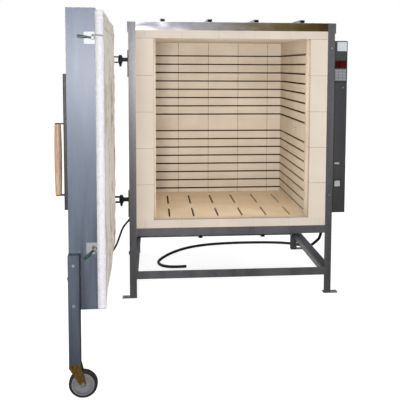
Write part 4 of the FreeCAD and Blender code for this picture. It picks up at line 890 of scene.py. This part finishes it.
# Name, places, the way it faces, radius, height, the body it rides on and the sides of its head.
SCREWS = (
    ("cover_screws", cover_places, FACING_RIGHT, 4.5, 2.4, "kiln", ROUND),
    ("box_front_screw", [(724, BOX_FACE - 0.8, 1338)], FACING_FRONT, 4.0, 2.0, "kiln", ROUND),
    ("leg_bolts", leg_places, FACING_FRONT, BOLT_RADIUS, 4.0, "door", HEXAGON),
    ("leg_side_bolt", [(-873.0, -1867, 540)], FACING_LEFT, BOLT_RADIUS, 5.0, "door", HEXAGON),
    ("post_side_bolt", [(-651.6, -540, 284)], FACING_LEFT, BOLT_RADIUS, 5.0, "kiln", HEXAGON),
)
for name, places, facing, radius, height, body, sides in SCREWS:
    set_out(name, places, round_head, facing, radius, height, zinc, body, sides)

# %% [markdown]
# ### Keypad and plate
#
# The keypad is a printed polyester film with soft embossed caps, flat to the touch. The plate above it is
# anodised aluminium. Both are plain.

# %% The keypad and the bare plate
PAD_FACE, FILM_THICK, CAP_HIGH, PLATE_THICK = -507.3, 0.3, 0.8, 1.0
KEY_CENTRE_X, KEY_CENTRE_Z, KEY_APART, KEY_RISE, KEY_WIDE = 704, 1419, 24.5, 18.5, 19.0
KEY_COLUMNS, KEY_ROWS = 3, 4

pad_film = moulded("keypad_polyester_film", "#646D70", "#71797C", shine=0.4, grain_mm=3.0, depth_mm=0.01)
key_film = moulded("keypad_embossed_caps", "#848E90", "#929B9D", shine=0.35, grain_mm=3.0, depth_mm=0.01)
bare_plate = moulded("bare_anodised_plate", "#C6CACF", "#D6DADF", shine=0.35, grain_mm=2.0, depth_mm=0.01)


def thin_plate(name, corner, size, material):
    """A flat box from its lowest corner, in mm."""
    plate = bmesh.new()
    bmesh.ops.create_cube(plate, size=1.0)
    for vertex in plate.verts:
        vertex.co = Vector([(c + s * (v + 0.5)) * MM for c, s, v in zip(corner, size, vertex.co)])
    piece = mesh_piece(name, plate, smooth=False)
    piece.data.materials.append(material)
    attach(piece, "kiln")
    print(name, size, "mm")


thin_plate("keypad_film", (665.5, PAD_FACE - FILM_THICK, 1380.5), (77, FILM_THICK, 77), pad_film)
key_places = [(KEY_CENTRE_X + KEY_APART * (column - (KEY_COLUMNS - 1) / 2), PAD_FACE - 2 * FILM_THICK,
               KEY_CENTRE_Z + KEY_RISE * (row - (KEY_ROWS - 1) / 2))
              for column in range(KEY_COLUMNS) for row in range(KEY_ROWS)]
set_out("keypad_caps", key_places, key_cap, FACING_FRONT, KEY_WIDE, CAP_HIGH, key_film,
        "kiln")
thin_plate("bare_plate", (682, BOX_FACE - PLATE_THICK, 1572), (62, PLATE_THICK, 58), bare_plate)

# %% [markdown]
# ## The room
#
# The photograph is cut out on white, but the steel still shows the workshop that it stood in. So the world is
# white to the camera, dim as fill light, and to mirrors a room that goes from bright on the left to brown and
# dark on the right, as the steel band shows. The kind of ray tells them apart.

# %% World
FILL_LIGHT, ROOM_LEFT, ROOM_RIGHT = 0.34, -0.15, 0.35
ROOM_SHADES = ((0.0, "#F2F2FC"), (0.42, "#CFCED3"), (0.6, "#8E7F58"), (0.72, "#735D28"), (0.84, "#24231C"))

world = bpy.data.worlds.new("studio")
bpy.context.scene.world = world
world.use_nodes = True
sky = world.node_tree
sky.nodes.clear()
ray = add(sky, "ShaderNodeLightPath").outputs
direct = add(sky, "ShaderNodeMath", {0: ray["Is Camera Ray"], 1: ray["Is Glossy Ray"]}, operation="MAXIMUM")
seen = add(sky, "ShaderNodeMath", {0: direct, 1: ray["Is Transmission Ray"]}, operation="MAXIMUM")
level = add(sky, "ShaderNodeMapRange", {"Value": seen, "To Min": FILL_LIGHT, "To Max": 1.0})
towards = add(sky, "ShaderNodeSeparateXYZ", {"Vector": add(sky, "ShaderNodeTexCoord").outputs["Generated"]})
across = add(sky, "ShaderNodeMapRange", {"Value": towards.outputs["X"], "From Min": ROOM_LEFT,
                                         "From Max": ROOM_RIGHT})
room = add(sky, "ShaderNodeValToRGB", {0: across})
for stop, shade in ROOM_SHADES:
    mark = room.color_ramp.elements.new(stop) if stop else room.color_ramp.elements[0]
    mark.color = tone(shade)
room.color_ramp.elements.remove(room.color_ramp.elements[-1])
sky_colour = add(sky, "ShaderNodeMix", {SHARE: ray["Is Glossy Ray"], FIRST: WHITE, SECOND: room},
                 data_type="RGBA")
sky_light = add(sky, "ShaderNodeBackground", {"Color": sky_colour, "Strength": level})
add(sky, "ShaderNodeOutputWorld", {"Surface": sky_light})
print("room shades:", len(room.color_ramp.elements))

# %% [markdown]
# ## The floor
#
# The floor is pale and catches a faint shadow. Its glow is for the camera only, so it doesn't throw extra
# light up on the object, and mirrors see dark workshop concrete in its place.

# %% Floor
FLOOR_HALF, FLOOR_SUNK, FLOOR_GLOW = 14, 0.0005, 0.80
PAPER, CONCRETE = "#E4E4E4", "#777069"

ground = bmesh.new()
bmesh.ops.create_grid(ground, x_segments=1, y_segments=1, size=FLOOR_HALF)
floor = mesh_piece("studio_floor", ground)
for vertex in floor.data.vertices:
    vertex.co.z = -FLOOR_SUNK
paper, paper_tree, paper_shader, _ = finish("studio_paper")
ray = add(paper_tree, "ShaderNodeLightPath").outputs
shown = add(paper_tree, "ShaderNodeMix", {SHARE: ray["Is Glossy Ray"], FIRST: PAPER, SECOND: CONCRETE},
            data_type="RGBA")
feed(paper_tree, paper_shader, {"Base Color": shown, "Roughness": 1.0, "Specular IOR Level": 0.0})
strength = add(paper_tree, "ShaderNodeMath", {0: ray["Is Camera Ray"], 1: FLOOR_GLOW}, operation="MULTIPLY")
glow = add(paper_tree, "ShaderNodeEmission", {"Color": WHITE, "Strength": strength})
together = add(paper_tree, "ShaderNodeAddShader", {0: paper_shader, 1: glow})
feed(paper_tree, paper_tree.nodes["Material Output"], {"Surface": together})
floor.data.materials.append(paper)
floor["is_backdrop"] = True
print("floor:", 2 * FLOOR_HALF, "m across")

# %% [markdown]
# ## Lamps
#
# The highlights on the door's free edge and on the left post both place one lamp beside the camera at about
# its own height. Weaker soft ones stand left, right and behind, and a wide dim one in the chamber's mouth
# lights the brick evenly. The camera sees none of them.

# %% Lamps
# Name, place, what it points at, width and height, watts, and how wide it spreads in degrees.
LAMPS = (
    ("beside_the_camera", (-0.92, -5.4, 1.42), (0.05, 0.0, 1.0), (0.6, 0.5), 106, 180),
    ("window_left", (-3.0, -6.0, 3.8), (0, -0.6, 0.9), (3.2, 2.6), 28, 180),
    ("window_right", (4.2, -4.4, 2.4), (-0.7, -1.0, 1.0), (2.4, 2.4), 80, 180),
    ("behind", (2.2, 6.0, 4.2), (0, 0.5, 1.0), (2.4, 2.4), 40, 180),
    ("into_the_chamber", (0, -0.56, 1.08), (0, 0.5, 1.11), (0.92, 1.07), 4.5, 165),
)
for name, place, target, size, watts, spread in LAMPS:
    lamp = bpy.data.lights.new(name, "AREA")
    lamp.shape = "RECTANGLE"
    lamp.size, lamp.size_y = size
    lamp.energy, lamp.spread = watts, math.radians(spread)
    holder = bpy.data.objects.new(name, lamp)
    aim = (Vector(target) - Vector(place)).to_track_quat("-Z", "Y")
    holder.matrix_world = Matrix.Translation(Vector(place)) @ aim.to_matrix().to_4x4()
    bpy.context.scene.collection.objects.link(holder)
    holder.visible_camera = False
bpy.context.scene.view_settings.view_transform = "Standard"
print("lamps:", ", ".join(row[0] for row in LAMPS))

# %% [markdown]
# ## Measure
#
# The dressed object must not outgrow the imported one, so the script prints how far it grows past the CAD
# box.

# %% Finish
low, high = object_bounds()
growth = [round(max(a - b, c - d) * 1000, 1) for a, b, c, d in zip(cad_low, low, high, cad_high)]
print("grows past the CAD box by at most (mm):", growth)
